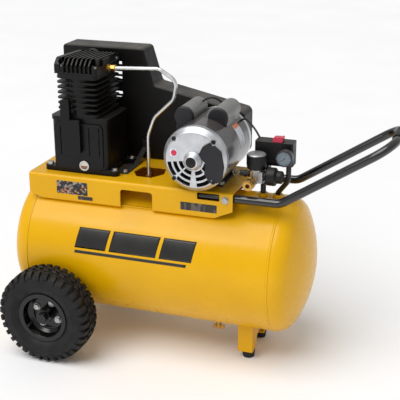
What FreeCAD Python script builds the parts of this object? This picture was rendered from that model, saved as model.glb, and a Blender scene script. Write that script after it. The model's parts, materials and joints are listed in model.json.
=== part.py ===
"""Portable belt-driven air compressor on a horizontal tank, with a pair of wheels and a lifting handle.

Millimetres, +Z up, the floor at z = 0. +X runs from the wheels to the handle, -Y is the side with the
oil sight glass and +Y the side with the belt guard. Lengths along X are measured from the tank's middle,
and save() moves every piece so that the whole object is centred over the frame's origin.
"""
import FreeCAD, Part
import math
import os
from FreeCAD import Vector

# ---------------------------------------------------------------- driving dimensions
# tank
TANK_R = 178.0
TANK_WALL = 3.0
TANK_Z = 255.5
BARREL_HALF = 327.0
HEAD_DEPTH = 82.0
KNUCKLE_R = 50.0
# wheels
WHEEL_R = 127.5
WHEEL_W = 85.0
WHEEL_X = -245.0
WHEEL_Y = 229.0
AXLE_R = 8.0
RIM_SEAT_R = 57.7
RIM_FLANGE_R = 67.0
HUB_R = 20.0
HUB_HALF = 30.0
RIM_BOLT_CIRCLE = 33.0
RIM_BOLT_ANGLES = (-26.0, 64.0, 154.0, 244.0)
# leg
LEG_X = 270.0
LEG_DEPTH = 40.0
LEG_HALF = 80.0
LEG_PLATE = 4.0
FOOT_H = 21.0
FOOT_X = 254.0
FOOT_Y = 58.0
# saddle
SADDLE_TOP = 470.0
SADDLE_SHEET = 3.0
SADDLE_X = (-340.0, 221.0)
SADDLE_LIP = 401.0
SADDLE_HALF = 115.0
SADDLE_BEND = 8.0
NOTCH_X = (-80.0, 8.0)
NOTCH_TOP = 450.0
# handle
BAR_R = 11.0
BAR_Y = 96.5
BAR_Z = 453.0
BAR_START_X = 125.0
BAR_BEND_X = 336.0
BAR_SLOPE = 33.0
HANDLE_END_X = 600.0
HANDLE_CORNER_R = 60.0
GRIP_R = 14.0
# pump
PUMP_X = -205.0
CRANK_Z = 560.0
CRANKCASE_X = (-285.0, -125.0)
CRANKCASE_Y = (-81.0, 55.0)
CRANKCASE_Z = (470.0, 620.0)
CYLINDER_Y = (-52.0, 16.0)
BORE_R = 26.0
CYLINDER_TOP = 727.0
PLATE_TOP = 733.0
HEAD_TOP = 772.0
HEAD_X = (-264.0, -148.0)
HEAD_Y = (-87.0, 67.0)
STROKE = 40.0
JOURNAL_R = 15.0
# drive
DRIVE_Y = 143.0
FLYWHEEL_R = 115.0
FLYWHEEL_PITCH_R = 110.0
PULLEY_R = 37.0
PULLEY_PITCH_R = 32.0
DRIVE_WIDTH = 26.0
GUARD_Y = (92.0, 172.0)
GUARD_STEP_Y = 118.0
GUARD_STEP_Z = 474.0
GUARD_SPLIT_Y = 145.0
GUARD_WALL = 3.0
GUARD_EDGE = 6.0
# motor
MOTOR_X = 130.0
MOTOR_Z = 558.5
MOTOR_R = 82.5
MOTOR_WALL = 3.0
SHELL_Y = (-120.0, 62.0)
MOTOR_FACE_Y = -147.0
MOTOR_REAR_Y = 87.0
SHAFT_R = 9.5
THROUGH_BOLT_CIRCLE = 72.0
THROUGH_BOLT_ANGLES = (45.0, 135.0, 225.0, 315.0)
CAP_CENTRES = ((73.0, 640.0), (162.0, 643.0))
CAP_R = 25.0
CAP_Y = (-57.0, 73.0)
# air fittings
CHECK_X = -42.0
CHECK_Y = -10.0
NIPPLE_X = 268.0
NIPPLE_R = 7.0
RISER_X = 307.0
MANIFOLD_Z = 509.0
REGULATOR_X = 268.0
REGULATOR_Y = -60.0
COUPLER_X = 258.0
COUPLER_Z = 496.0
COUPLER_BORE_R = 5.5
GAUGE_X = 333.0
GAUGE_Z = 556.5
GAUGE_R = 21.0
GAUGE_DEPTH = 26.0
SWITCH_X = (248.0, 346.0)
SWITCH_Y = (-20.0, 22.0)
SWITCH_Z = (524.0, 584.0)
DRAIN_X = 152.0
# fits
RUNNING = 0.05
CLEAR = 0.4

FRAME_SHIFT_X = -(HANDLE_END_X + GRIP_R - BARREL_HALF - HEAD_DEPTH) / 2
AXES = {"X": Vector(1, 0, 0), "Y": Vector(0, 1, 0), "Z": Vector(0, 0, 1)}


# ---------------------------------------------------------------- shape helpers
def save(node, *solids):
    """Write one node: its solids, moved into the object's frame."""
    shape = solids[0] if len(solids) == 1 else Part.makeCompound(list(solids))
    shape = shape.copy()
    shape.translate(Vector(FRAME_SHIFT_X, 0, 0))
    shape.exportStep("parts/" + node + ".step")


def union(shapes):
    """One solid from several that touch or overlap."""
    first = shapes[0]
    if len(shapes) > 1:
        first = first.multiFuse(list(shapes[1:]))
    return first.removeSplitter()


def widen(span, by):
    """A pair of limits moved apart by the same amount at each end."""
    return (span[0] - by, span[1] + by)


def block(x, y, z):
    """A box from its low and high limits along each axis."""
    return Part.makeBox(x[1] - x[0], y[1] - y[0], z[1] - z[0], Vector(x[0], y[0], z[0]))


def rod(radius, start, end):
    """A round bar between two points."""
    start, end = Vector(*start), Vector(*end)
    return Part.makeCylinder(radius, (end - start).Length, start, end - start)


def ring(outer, inner, start, end):
    """A round tube between two points."""
    return rod(outer, start, end).cut(rod(inner, start, end))


def on_plane(axis, u, v, level=0.0):
    """The point (u, v) on the plane square to an axis, in X, Y, Z order."""
    if axis == "X":
        return Vector(level, u, v)
    if axis == "Y":
        return Vector(u, level, v)
    return Vector(u, v, level)


def rounded_edges(points, radii, closed):
    """Straight edges and tangent arcs through 3-D points, with a radius at each point."""
    count = len(points)
    edges = []
    inner = range(count) if closed else range(1, count - 1)
    arcs = {}
    for i in inner:
        if radii[i] <= 0:
            continue
        here = points[i]
        back = (points[i - 1] - here).normalize()
        ahead = (points[(i + 1) % count] - here).normalize()
        half = back.getAngle(ahead) / 2
        reach = radii[i] / math.tan(half)
        middle = (back + ahead).normalize() * (radii[i] / math.sin(half) - radii[i])
        arcs[i] = (here + back * reach, here + middle, here + ahead * reach)
    for i in range(count if closed else count - 1):
        j = (i + 1) % count
        start = arcs[i][2] if i in arcs else points[i]
        end = arcs[j][0] if j in arcs else points[j]
        if i in arcs:
            edges.append(Part.Arc(*arcs[i]).toShape())
        if (end - start).Length > 1e-6:
            edges.append(Part.LineSegment(start, end).toShape())
    return edges


def plate(corners, axis, low, high):
    """A prism of a rounded outline, (u, v, radius) at each corner, between two planes."""
    points = [on_plane(axis, u, v, low) for u, v, _ in corners]
    wire = Part.Wire(rounded_edges(points, [r for _, _, r in corners], True))
    return Part.Face(wire).extrude(AXES[axis] * (high - low))


def rectangle(u, v, radius):
    """Four rounded corners, from the low and high limits of a rectangle."""
    return [(u[0], v[0], radius), (u[1], v[0], radius), (u[1], v[1], radius), (u[0], v[1], radius)]


def lathe(corners, centre, axis):
    """A solid of revolution from (along, radius, corner radius) points about an axis through centre."""
    direction = AXES[axis]
    side = AXES["Z"] if axis != "Z" else AXES["X"]
    points = [Vector(*centre) + direction * a + side * r for a, r, _ in corners]
    wire = Part.Wire(rounded_edges(points, [c for _, _, c in corners], True))
    return Part.Face(wire).revolve(Vector(*centre), direction, 360)


def tube(points, radii, outer, inner=0.0):
    """A pipe along straight runs joined by tangent arcs."""
    points = [Vector(*p) for p in points]
    spine = Part.Wire(rounded_edges(points, radii, False))
    heading = points[1] - points[0]
    section = Part.Wire(Part.Circle(points[0], heading, outer).toShape())
    pipe = spine.makePipeShell([section], True, True)
    if inner > 0:
        section = Part.Wire(Part.Circle(points[0], heading, inner).toShape())
        pipe = pipe.cut(spine.makePipeShell([section], True, True))
    return pipe


def hexagon(across, start, end):
    """A six-sided prism between two points along an axis, measured across its flats."""
    start, end = Vector(*start), Vector(*end)
    direction = (end - start).normalize()
    side = AXES["Z"] if abs(direction.z) < 0.5 else AXES["X"]
    other = direction.cross(side)
    radius = across / 2 / math.cos(math.pi / 6)
    turns = [math.radians(60 * k + 30) for k in range(7)]
    points = [start + side * (radius * math.cos(t)) + other * (radius * math.sin(t)) for t in turns]
    return Part.Face(Part.makePolygon(points)).extrude(end - start)


def bolt(seat, direction, thread_r, length, washer=0.0):
    """A hexagon-head bolt: the head stands on the seat and the shank goes the other way."""
    seat, direction = Vector(*seat), Vector(*direction)
    under = seat + direction * washer
    solids = [hexagon(thread_r * 3.4, under, under + direction * thread_r * 1.3),
              rod(thread_r, seat - direction * length, under)]
    if washer > 0:
        solids.append(rod(thread_r * 2.4, seat, under))
    return union(solids)


def nut(seat, direction, thread_r):
    """A hexagon nut standing on its seat, with its bore."""
    seat, direction = Vector(*seat), Vector(*direction)
    top = seat + direction * thread_r * 1.6
    return hexagon(thread_r * 3.4, seat, top).cut(rod(thread_r, seat, top))


def polar(centre, radius, degrees):
    """A point on a circle, as two numbers."""
    turn = math.radians(degrees)
    return centre[0] + radius * math.cos(turn), centre[1] + radius * math.sin(turn)


def tank_envelope(gap):
    """The barrel's outside, grown by a gap, for trimming what stands on the tank."""
    ends = BARREL_HALF + HEAD_DEPTH
    return rod(TANK_R + gap, (-ends, 0, TANK_Z), (ends, 0, TANK_Z))


# ---------------------------------------------------------------- tank
BUNGS = {"check": (CHECK_X, CHECK_Y, 14.0, 8.0), "nipple": (NIPPLE_X, 0.0, 12.0, NIPPLE_R),
         "riser": (RISER_X, 0.0, 13.0, 6.5)}
BUNG_TOP = TANK_Z + TANK_R + 10.0
BUNG_ROOT = TANK_Z + TANK_R - 12.0
DRAIN_BUNG = (TANK_Z - TANK_R - 10.0, TANK_Z - TANK_R + 8.0)
DRAIN_BUNG_R = (14.0, 8.0)


def head_curve(sign, inset):
    """The meridian of a dished end, a knuckle arc and a crown arc, from its rim to its pole."""
    reach = TANK_R - KNUCKLE_R
    crown_r = (KNUCKLE_R ** 2 - reach ** 2 - HEAD_DEPTH ** 2) / (2 * (KNUCKLE_R - HEAD_DEPTH))
    crown_x = HEAD_DEPTH - crown_r
    join = math.degrees(math.atan2(reach, -crown_x))

    def at(centre, radius, degrees):
        along, out = polar(centre, radius - inset, degrees)
        return Vector(sign * (BARREL_HALF + along), 0, TANK_Z + out)

    knuckle = [at((0.0, reach), KNUCKLE_R, degrees) for degrees in (90.0, (90.0 + join) / 2, join)]
    crown = [at((crown_x, 0.0), crown_r, degrees) for degrees in (join, join / 2, 0.0)]
    return [Part.Arc(*knuckle).toShape(), Part.Arc(*crown).toShape()], knuckle[0], crown[2]


def tank_head(sign):
    """One dished end, open towards the barrel."""
    outer, outer_rim, outer_pole = head_curve(sign, 0.0)
    inner, inner_rim, inner_pole = head_curve(sign, TANK_WALL)
    edges = outer + [Part.LineSegment(outer_pole, inner_pole).toShape()] + inner[::-1]
    edges.append(Part.LineSegment(inner_rim, outer_rim).toShape())
    return Part.Face(Part.Wire(edges)).revolve(Vector(0, 0, TANK_Z), AXES["X"], 360)


def make_tank():
    low, high = (-BARREL_HALF, 0, TANK_Z), (BARREL_HALF, 0, TANK_Z)
    barrel = ring(TANK_R, TANK_R - TANK_WALL, low, high)
    bungs = []
    for x, y, outer, inner in BUNGS.values():
        barrel = barrel.cut(rod(outer, (x, y, BUNG_ROOT), (x, y, BUNG_TOP)))
        bungs.append(ring(outer, inner, (x, y, BUNG_ROOT), (x, y, BUNG_TOP)))
    outer, inner = DRAIN_BUNG_R
    barrel = barrel.cut(rod(outer, (DRAIN_X, 0, DRAIN_BUNG[0]), (DRAIN_X, 0, DRAIN_BUNG[1])))
    bungs.append(ring(outer, inner, (DRAIN_X, 0, DRAIN_BUNG[0]), (DRAIN_X, 0, DRAIN_BUNG[1])))
    save("tank_barrel", barrel)
    save("tank_heads", tank_head(-1), tank_head(1))
    return bungs


# ---------------------------------------------------------------- wheels and axles
BRACKET_HALF = 30.0
BRACKET_END_Y = 178.0
BRACKET_PLATE = 5.0
BRACKET_Z = (WHEEL_R - 30.0, WHEEL_R + 38.0)


def make_wheel(side, sign):
    """One pneumatic wheel: a tyre on a split rim, a hub with two bearings, rim bolts and a valve."""
    centre = (WHEEL_X, sign * WHEEL_Y, WHEEL_R)
    half = WHEEL_W / 2
    tyre = lathe([(-30, RIM_SEAT_R, 0), (-31, RIM_FLANGE_R + 2, 0), (-half, 84, 14), (-half, WHEEL_R, 24),
                  (half, WHEEL_R, 24), (half, 84, 14), (31, RIM_FLANGE_R + 2, 0), (30, RIM_SEAT_R, 0),
                  (20, RIM_SEAT_R, 0), (20, 64, 0), (34, 86, 8), (34, WHEEL_R - 9, 16),
                  (-34, WHEEL_R - 9, 16), (-34, 86, 8), (-20, 64, 0), (-20, RIM_SEAT_R, 0)], centre, "Y")
    rims = []
    for face in (-1, 1):
        rims.append(lathe([(0, HUB_R, 0), (0, RIM_SEAT_R, 0), (face * 31, RIM_SEAT_R, 0),
                           (face * 31, RIM_FLANGE_R, 0), (face * 34, RIM_FLANGE_R, 0), (face * 34, 55, 2),
                           (face * 12, 55, 8), (face * 3, 44, 8), (face * 3, HUB_R, 0)], centre, "Y"))
    bearing_r = 13.0
    ends = [(WHEEL_X, centre[1] + a, WHEEL_R) for a in (-HUB_HALF, -HUB_HALF + 12, HUB_HALF - 12, HUB_HALF)]
    hub = ring(HUB_R, bearing_r, ends[0], ends[3])
    bearings = [ring(bearing_r, AXLE_R + RUNNING, ends[0], ends[1]),
                ring(bearing_r, AXLE_R + RUNNING, ends[2], ends[3])]
    bolts = []
    for angle in RIM_BOLT_ANGLES:
        x, z = polar((WHEEL_X, WHEEL_R), RIM_BOLT_CIRCLE, angle)
        outer_face = sign * (WHEEL_Y + 3)
        inner_face = sign * (WHEEL_Y - 3)
        bolts.append(bolt((x, outer_face, z), (0, sign, 0), 4.0, 6.0, 1.2))
        bolts.append(nut((x, inner_face, z), (0, -sign, 0), 4.0))
        hole = rod(4.0, (x, outer_face, z), (x, inner_face, z))
        rims = [rim.cut(hole) for rim in rims]
    stem_x, stem_z = polar((WHEEL_X, WHEEL_R), 52.0, 215.0)
    stem_y = centre[1] + sign * 10
    stem = rod(4.0, (stem_x, stem_y, stem_z), (stem_x, stem_y + sign * 24, stem_z))
    rims = [rim.cut(stem) for rim in rims]
    save("tyre_" + side, tyre, stem)
    save("rim_" + side, *rims)
    save("hub_" + side, hub, *bearings, *bolts)


def make_axles():
    """Boxed brackets welded to the tank's sides, each with a shoulder bolt for its wheel."""
    brackets, bolts = [], []
    for sign in (-1, 1):
        inner = [sign * TANK_R * 0.5, sign * BRACKET_END_Y]
        span = (min(inner), max(inner))
        cheeks = []
        for x in (WHEEL_X - BRACKET_HALF, WHEEL_X + BRACKET_HALF - BRACKET_PLATE):
            cheeks.append(block((x, x + BRACKET_PLATE), span, BRACKET_Z))
        end = [sign * (BRACKET_END_Y - BRACKET_PLATE), sign * BRACKET_END_Y]
        width = (WHEEL_X - BRACKET_HALF, WHEEL_X + BRACKET_HALF)
        bracket = union(cheeks + [block(width, (min(end), max(end)), BRACKET_Z)])
        shank_end = (WHEEL_X, sign * (BRACKET_END_Y - 20), WHEEL_R)
        head_seat = (WHEEL_X, sign * (WHEEL_Y + HUB_HALF + CLEAR), WHEEL_R)
        shank = rod(AXLE_R, shank_end, head_seat)
        spacer = ring(12.0, AXLE_R, (WHEEL_X, sign * BRACKET_END_Y, WHEEL_R),
                      (WHEEL_X, sign * (WHEEL_Y - HUB_HALF - CLEAR), WHEEL_R))
        brackets.append(bracket.cut(tank_envelope(0)).cut(shank))
        head_end = (WHEEL_X, head_seat[1] + sign * 9, WHEEL_R)
        washer_end = (WHEEL_X, head_seat[1] + sign * 2, WHEEL_R)
        bolts.append(union([shank, rod(14.0, head_seat, washer_end), hexagon(24.0, washer_end, head_end)]))
        bolts.append(spacer)
        bolts.append(nut((WHEEL_X, sign * (BRACKET_END_Y - BRACKET_PLATE), WHEEL_R), (0, -sign, 0), AXLE_R))
    save("axle_bolts", *bolts)
    return brackets


# ---------------------------------------------------------------- leg
def make_leg():
    """A folded front leg under the tank, with a rubber foot at each side."""
    web = plate(rectangle((-LEG_HALF, LEG_HALF), (FOOT_H, TANK_Z - 60), 0), "X", LEG_X - LEG_PLATE, LEG_X)
    arch = plate([(-44, FOOT_H - 5, 0), (44, FOOT_H - 5, 0), (44, 56, 26), (-44, 56, 26)], "X",
                 LEG_X - LEG_PLATE - 1, LEG_X + 1)
    pieces = [web.cut(arch)]
    feet, screws = [], []
    hole_r = 4.0
    for sign in (-1, 1):
        side = sorted((sign * LEG_HALF, sign * (LEG_HALF - LEG_PLATE)))
        toe = sorted((sign * LEG_HALF, sign * (FOOT_Y - 22)))
        depth = (LEG_X - LEG_DEPTH, LEG_X)
        pieces.append(block(depth, side, (FOOT_H, TANK_Z - 60)))
        pieces.append(block(depth, toe, (FOOT_H, FOOT_H + LEG_PLATE)))
        spot = (FOOT_X, sign * FOOT_Y)
        foot = lathe([(0, 0, 0), (0, 15.0, 2), (FOOT_H, 17.5, 2), (FOOT_H, 0, 0)], spot + (0,), "Z")
        recess = rod(9.0, spot + (-1,), spot + (9,))
        through = rod(hole_r, spot + (-1,), spot + (FOOT_H + 1,))
        feet.append(foot.cut(recess).cut(through))
        screws.append(bolt(spot + (9.0,), (0, 0, -1), hole_r, FOOT_H + LEG_PLATE - 9.0 + 6.4))
        screws.append(nut(spot + (FOOT_H + LEG_PLATE,), (0, 0, 1), hole_r))
    leg = union(pieces).cut(tank_envelope(0))
    for sign in (-1, 1):
        leg = leg.cut(rod(hole_r, (FOOT_X, sign * FOOT_Y, 0), (FOOT_X, sign * FOOT_Y, 40)))
    save("leg_bracket", leg)
    save("rubber_feet", *feet)
    return screws


# ---------------------------------------------------------------- saddle
PUMP_FEET = ((-297.0, -70.0), (-113.0, -70.0), (-297.0, 44.0), (-113.0, 44.0))
MOTOR_FEET = ((87.0, -56.0), (173.0, -56.0), (87.0, 48.0), (173.0, 48.0))
BRACKET_FEET = ((-97.0, -39.0),)
MOUNT_R = 4.0
BAR_BOLTS_X = (148.0, 202.0)


def make_saddle():
    """The bent sheet on top of the tank, with its lifting notch, slots and the hole for the air tube."""
    profile = [(-SADDLE_HALF, SADDLE_LIP, 4), (-SADDLE_HALF, SADDLE_TOP, SADDLE_BEND),
               (SADDLE_HALF, SADDLE_TOP, SADDLE_BEND), (SADDLE_HALF, SADDLE_LIP, 4)]
    inner = SADDLE_HALF - SADDLE_SHEET
    under = SADDLE_TOP - SADDLE_SHEET
    core = [(-inner, SADDLE_LIP + SADDLE_SHEET, 1), (-inner, under, SADDLE_BEND - SADDLE_SHEET),
            (inner, under, SADDLE_BEND - SADDLE_SHEET), (inner, SADDLE_LIP + SADDLE_SHEET, 1)]
    shell = plate(profile, "X", *SADDLE_X).cut(plate(core, "X", SADDLE_X[0] - 1, SADDLE_X[1] + 1))
    shell = shell.cut(tank_envelope(0))
    across = (-SADDLE_HALF - 5, SADDLE_HALF + 5)
    left, right = SADDLE_X
    shell = shell.cut(plate([(left - 5, 380, 0), (left + 36, 380, 0), (left + 36, SADDLE_LIP, 0),
                             (left, 417, 0), (left - 5, 417, 0)], "Y", *across))
    shell = shell.cut(plate([(right + 5, 380, 0), (right - 52, 380, 0), (right - 52, SADDLE_LIP, 0),
                             (right, 424, 0), (right + 5, 424, 0)], "Y", *across))
    front = (-SADDLE_HALF - 5, -SADDLE_HALF + 10)
    shell = shell.cut(plate([(NOTCH_X[0], 370, 0), (NOTCH_X[1], 370, 0), (NOTCH_X[1], NOTCH_TOP, 8),
                             (NOTCH_X[0], NOTCH_TOP, 8)], "Y", *front))
    shell = shell.cut(plate(rectangle((128, 187), (448, 466), 4), "Y", *front))
    window = [(-80, -20, 3), (-58, -57, 3), (-16, -57, 3), (5, -20, 3), (-6, 28, 3), (-70, 28, 3)]
    shell = shell.cut(plate(window, "Z", SADDLE_TOP - 10, SADDLE_TOP + 5))
    for x, y in PUMP_FEET + MOTOR_FEET + BRACKET_FEET:
        shell = shell.cut(rod(MOUNT_R, (x, y, SADDLE_TOP - 10), (x, y, SADDLE_TOP + 5)))
    for x in BAR_BOLTS_X[1:]:
        shell = shell.cut(rod(MOUNT_R, (x, -SADDLE_HALF - 5, BAR_Z), (x, SADDLE_HALF + 5, BAR_Z)))
    save("saddle", shell)


# ---------------------------------------------------------------- handle
def handle_route():
    """Centre points of the lifting handle, from one free end round to the other."""
    rise = (HANDLE_END_X - BAR_BEND_X) * math.tan(math.radians(BAR_SLOPE))
    half = [(BAR_START_X, BAR_Z), (BAR_BEND_X, BAR_Z), (HANDLE_END_X, BAR_Z + rise)]
    near = [(x, -BAR_Y, z) for x, z in half]
    far = [(x, BAR_Y, z) for x, z in reversed(half)]
    return near + far


def make_handle():
    route = handle_route()
    radii = [0, 45.0, HANDLE_CORNER_R, HANDLE_CORNER_R, 45.0, 0]
    bar = tube(route, radii, BAR_R, BAR_R - 2.0)
    bolts, spacers = [], []
    x = BAR_BOLTS_X[1]
    for sign in (-1, 1):
        outside = sign * SADDLE_HALF
        hole = rod(MOUNT_R, (x, sign * (BAR_Y - 20), BAR_Z), (x, outside, BAR_Z))
        bar = bar.cut(hole)
        bolts.append(bolt((x, outside, BAR_Z), (0, sign, 0), MOUNT_R, SADDLE_HALF - BAR_Y + BAR_R + 7.0, 1.5))
        bolts.append(nut((x, sign * (BAR_Y - BAR_R), BAR_Z), (0, -sign, 0), MOUNT_R))
        spacers.append(ring(9.0, MOUNT_R, (x, sign * (BAR_Y + BAR_R - 1.0), BAR_Z),
                            (x, sign * (SADDLE_HALF - SADDLE_SHEET), BAR_Z)))
    swept = rod(BAR_R, (BAR_START_X, -BAR_Y, BAR_Z), (BAR_BEND_X, -BAR_Y, BAR_Z))
    mirrored = rod(BAR_R, (BAR_START_X, BAR_Y, BAR_Z), (BAR_BEND_X, BAR_Y, BAR_Z))
    spacers = [spacer.cut(swept).cut(mirrored) for spacer in spacers]
    end_z = route[2][2]
    low = (HANDLE_END_X, -BAR_Y + HANDLE_CORNER_R, end_z)
    high = (HANDLE_END_X, BAR_Y - HANDLE_CORNER_R, end_z)
    save("handle_tube", bar)
    save("handle_grip", ring(GRIP_R, BAR_R, low, high))
    return bolts + spacers


# ---------------------------------------------------------------- pump
FIN = 4.0
SIGHT_X = -190.0
SIGHT_Z = 494.0
COVER_Y = CRANKCASE_Y[0] - 6.0


def bearing_walls():
    return ((CRANKCASE_Y[0], CRANKCASE_Y[0] + 12.0, 22.0), (CRANKCASE_Y[1] - 12.0, CRANKCASE_Y[1], 26.0))


def make_crankcase():
    """The crankcase with its feet, front cover, sight glass, plugs and breather."""
    low_z, top_z = CRANKCASE_Z
    body = plate(rectangle(CRANKCASE_X, CRANKCASE_Y, 18), "Z", low_z + 6, top_z)
    flange = plate(rectangle(widen(CRANKCASE_X, 2), widen(CRANKCASE_Y, 2), 18), "Z", top_z - 10, top_z)
    feet = [rod(13.0, (x, y, low_z), (x, y, low_z + 14)) for x, y in PUMP_FEET]
    base_x = (PUMP_FEET[0][0], PUMP_FEET[1][0])
    base_y = (PUMP_FEET[0][1] - 13, PUMP_FEET[2][1] + 13)
    base = plate(rectangle(base_x, base_y, 12), "Z", low_z, low_z + 14)
    waist = [(CRANKCASE_X[0] - 30, CRANKCASE_X[0] - 1), (CRANKCASE_X[1] + 1, CRANKCASE_X[1] + 30)]
    for x in waist:
        base = base.cut(block(x, (PUMP_FEET[0][1] + 13, PUMP_FEET[2][1] - 13), (low_z - 1, low_z + 20)))
    case = union([body, flange, base] + feet)
    case = case.cut(block(widen(CRANKCASE_X, -10), widen(CRANKCASE_Y, -12), (low_z + 16, top_z - 12)))
    for y in CYLINDER_Y:
        case = case.cut(rod(BORE_R + 3, (PUMP_X, y, top_z - 20), (PUMP_X, y, top_z + 1)))
    for start, end, radius in bearing_walls():
        case = case.cut(rod(radius, (PUMP_X, start, CRANK_Z), (PUMP_X, end, CRANK_Z)))
    for x, y in PUMP_FEET:
        case = case.cut(rod(MOUNT_R, (x, y, low_z), (x, y, low_z + 14)))
    save("pump_crankcase", case)

    cover_y = (COVER_Y, CRANKCASE_Y[0])
    cover = plate(rectangle(widen(CRANKCASE_X, -12), (low_z + 15, top_z - 16), 14), "Y", *cover_y)
    ribs = []
    for x in (CRANKCASE_X[0] + 22, CRANKCASE_X[1] - 58, CRANKCASE_X[1] - 30):
        ribs.append(plate(rectangle((x, x + 8), (low_z + 50, top_z - 24), 3), "Y", COVER_Y - 3, COVER_Y))
    cover = union([cover] + ribs)
    glass = rod(13.5, (SIGHT_X, COVER_Y, SIGHT_Z), (SIGHT_X, COVER_Y - 4, SIGHT_Z))
    save("crankcase_cover", cover)
    rim = glass.cut(rod(9.5, (SIGHT_X, COVER_Y - 1, SIGHT_Z), (SIGHT_X, COVER_Y - 4, SIGHT_Z)))
    lens = rod(9.5, (SIGHT_X, COVER_Y - 1, SIGHT_Z), (SIGHT_X, COVER_Y - 3, SIGHT_Z))
    chamber = union([plate(rectangle((-247, -195), (527, 615), 8), "Y", COVER_Y - 12, COVER_Y),
                     plate(rectangle((-247, -222), (590, 668), 8), "Y", COVER_Y - 12, COVER_Y)])
    save("breather_box", chamber.cut(union([cover] + [glass])))

    plug_x = CRANKCASE_X[0]
    plug = union([rod(9.0, (plug_x, -20, 505), (plug_x - 3, -20, 505)),
                  hexagon(13.0, (plug_x - 3, -20, 505), (plug_x - 9, -20, 505))])
    save("oil_fittings", rim, lens, plug)
    return mounting_bolts(PUMP_FEET, low_z + 14)


def mounting_bolts(spots, seat_z):
    """Bolts down through a foot and the saddle, each with its nut below."""
    solids = []
    for x, y in spots:
        solids.append(bolt((x, y, seat_z), (0, 0, 1), MOUNT_R, seat_z - SADDLE_TOP + 14.0, 1.5))
        solids.append(nut((x, y, SADDLE_TOP - SADDLE_SHEET), (0, 0, -1), MOUNT_R))
    return solids


def make_cylinder_and_head():
    """The finned cylinder block, the valve plate with its reeds, the finned head and the air filter."""
    base_z = CRANKCASE_Z[1]
    web = block((PUMP_X - BORE_R, PUMP_X + BORE_R), CYLINDER_Y, (base_z, CYLINDER_TOP))
    barrels = [rod(BORE_R + 5, (PUMP_X, y, base_z), (PUMP_X, y, CYLINDER_TOP)) for y in CYLINDER_Y]
    foot = rectangle((PUMP_X - 60, PUMP_X + 58), (HEAD_Y[0] + 5, HEAD_Y[1]), 22)
    fin = rectangle((PUMP_X - 59, PUMP_X + 56), (HEAD_Y[0] + 2, HEAD_Y[1]), 14)
    slabs = [plate(foot, "Z", base_z, base_z + 9)]
    for k in range(7):
        z = base_z + 20 + k * 13.5
        slabs.append(plate(fin, "Z", z, z + FIN))
    deck = rectangle(widen(HEAD_X, -2), (HEAD_Y[0] + 2, HEAD_Y[1]), 14)
    slabs.append(plate(deck, "Z", CYLINDER_TOP - 7, CYLINDER_TOP))
    bores = [rod(BORE_R, (PUMP_X, y, base_z - 1), (PUMP_X, y, CYLINDER_TOP + 1)) for y in CYLINDER_Y]
    cylinder = union([web] + barrels + slabs)
    for bore in bores:
        cylinder = cylinder.cut(bore)
    chamber_front = COVER_Y
    cylinder = cylinder.cut(block((-249, -220), (chamber_front - 20, chamber_front + 3), (base_z, 670)))
    save("pump_cylinder", cylinder)

    valve_plate = plate(rectangle((HEAD_X[0] + 2, HEAD_X[1] - 2), (HEAD_Y[0] + 2, HEAD_Y[1]), 12), "Z",
                        CYLINDER_TOP, PLATE_TOP)
    reeds = []
    for y in CYLINDER_Y:
        for x in (PUMP_X - 14, PUMP_X + 14):
            valve_plate = valve_plate.cut(rod(5.0, (x, y, CYLINDER_TOP - 1), (x, y, PLATE_TOP + 1)))
        reeds.append(block((PUMP_X + 7, PUMP_X + 21), (y - 22, y + 10), (PLATE_TOP, PLATE_TOP + 0.6)))
    save("valve_plate", valve_plate, *reeds)

    deck = HEAD_TOP - 22
    lip = plate(rectangle(HEAD_X, HEAD_Y, 10), "Z", PLATE_TOP, PLATE_TOP + 3)
    head = plate(rectangle(HEAD_X, (HEAD_Y[0] + 7, HEAD_Y[1]), 10), "Z", PLATE_TOP, deck)
    fins = []
    fin_profile = [(HEAD_Y[0], PLATE_TOP, 0), (HEAD_Y[1], PLATE_TOP, 0), (HEAD_Y[1], HEAD_TOP - 6, 10),
                   (HEAD_Y[0] + 16, HEAD_TOP, 14), (HEAD_Y[0], HEAD_TOP - 16, 10)]
    for k in range(8):
        x = HEAD_X[0] + 22 + k * 12.0
        fins.append(plate(fin_profile, "X", x, x + FIN))
    solid_end = plate(fin_profile, "X", HEAD_X[0], HEAD_X[0] + 14)
    port = block((HEAD_X[1] - 22, HEAD_X[1]), (-42, 2), (PLATE_TOP, HEAD_TOP - 6))
    screw_x, screw_y = (HEAD_X[0] + 17, HEAD_X[1] - 9), (HEAD_Y[0] + 10, HEAD_Y[1] - 10)
    bosses = [rod(9.0, (x, screw_y[0], PLATE_TOP), (x, screw_y[0], deck)) for x in screw_x]
    head = union([head, lip, solid_end, port] + bosses + fins)
    split = PUMP_X
    for x in ((HEAD_X[0] + 8, split - 3), (split + 3, HEAD_X[1] - 8)):
        head = head.cut(block(x, (HEAD_Y[0] + 12, HEAD_Y[1] - 8), (PLATE_TOP - 1, deck - 5)))
    head = head.cut(rod(5.0, (HEAD_X[1] - 12, -20, 742), (HEAD_X[1] + 1, -20, 742)))
    screws = []
    for x in screw_x:
        for y in screw_y:
            head = head.cut(rod(8.0, (x, y, deck), (x, y, HEAD_TOP + 1)))
            head = head.cut(rod(3.5, (x, y, deck - 4), (x, y, deck)))
            screws.append(bolt((x, y, deck), (0, 0, 1), 3.5, 4.0))
    save("pump_head", head)

    filter_x, filter_z = PUMP_X - 28, 742.0
    canister = lathe([(0, 0, 0), (0, 9, 0), (3, 9, 0), (3, 26, 2), (18, 26, 5), (18, 0, 0)],
                     (filter_x, HEAD_Y[1], filter_z), "Y")
    save("intake_filter", canister)
    return screws


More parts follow.
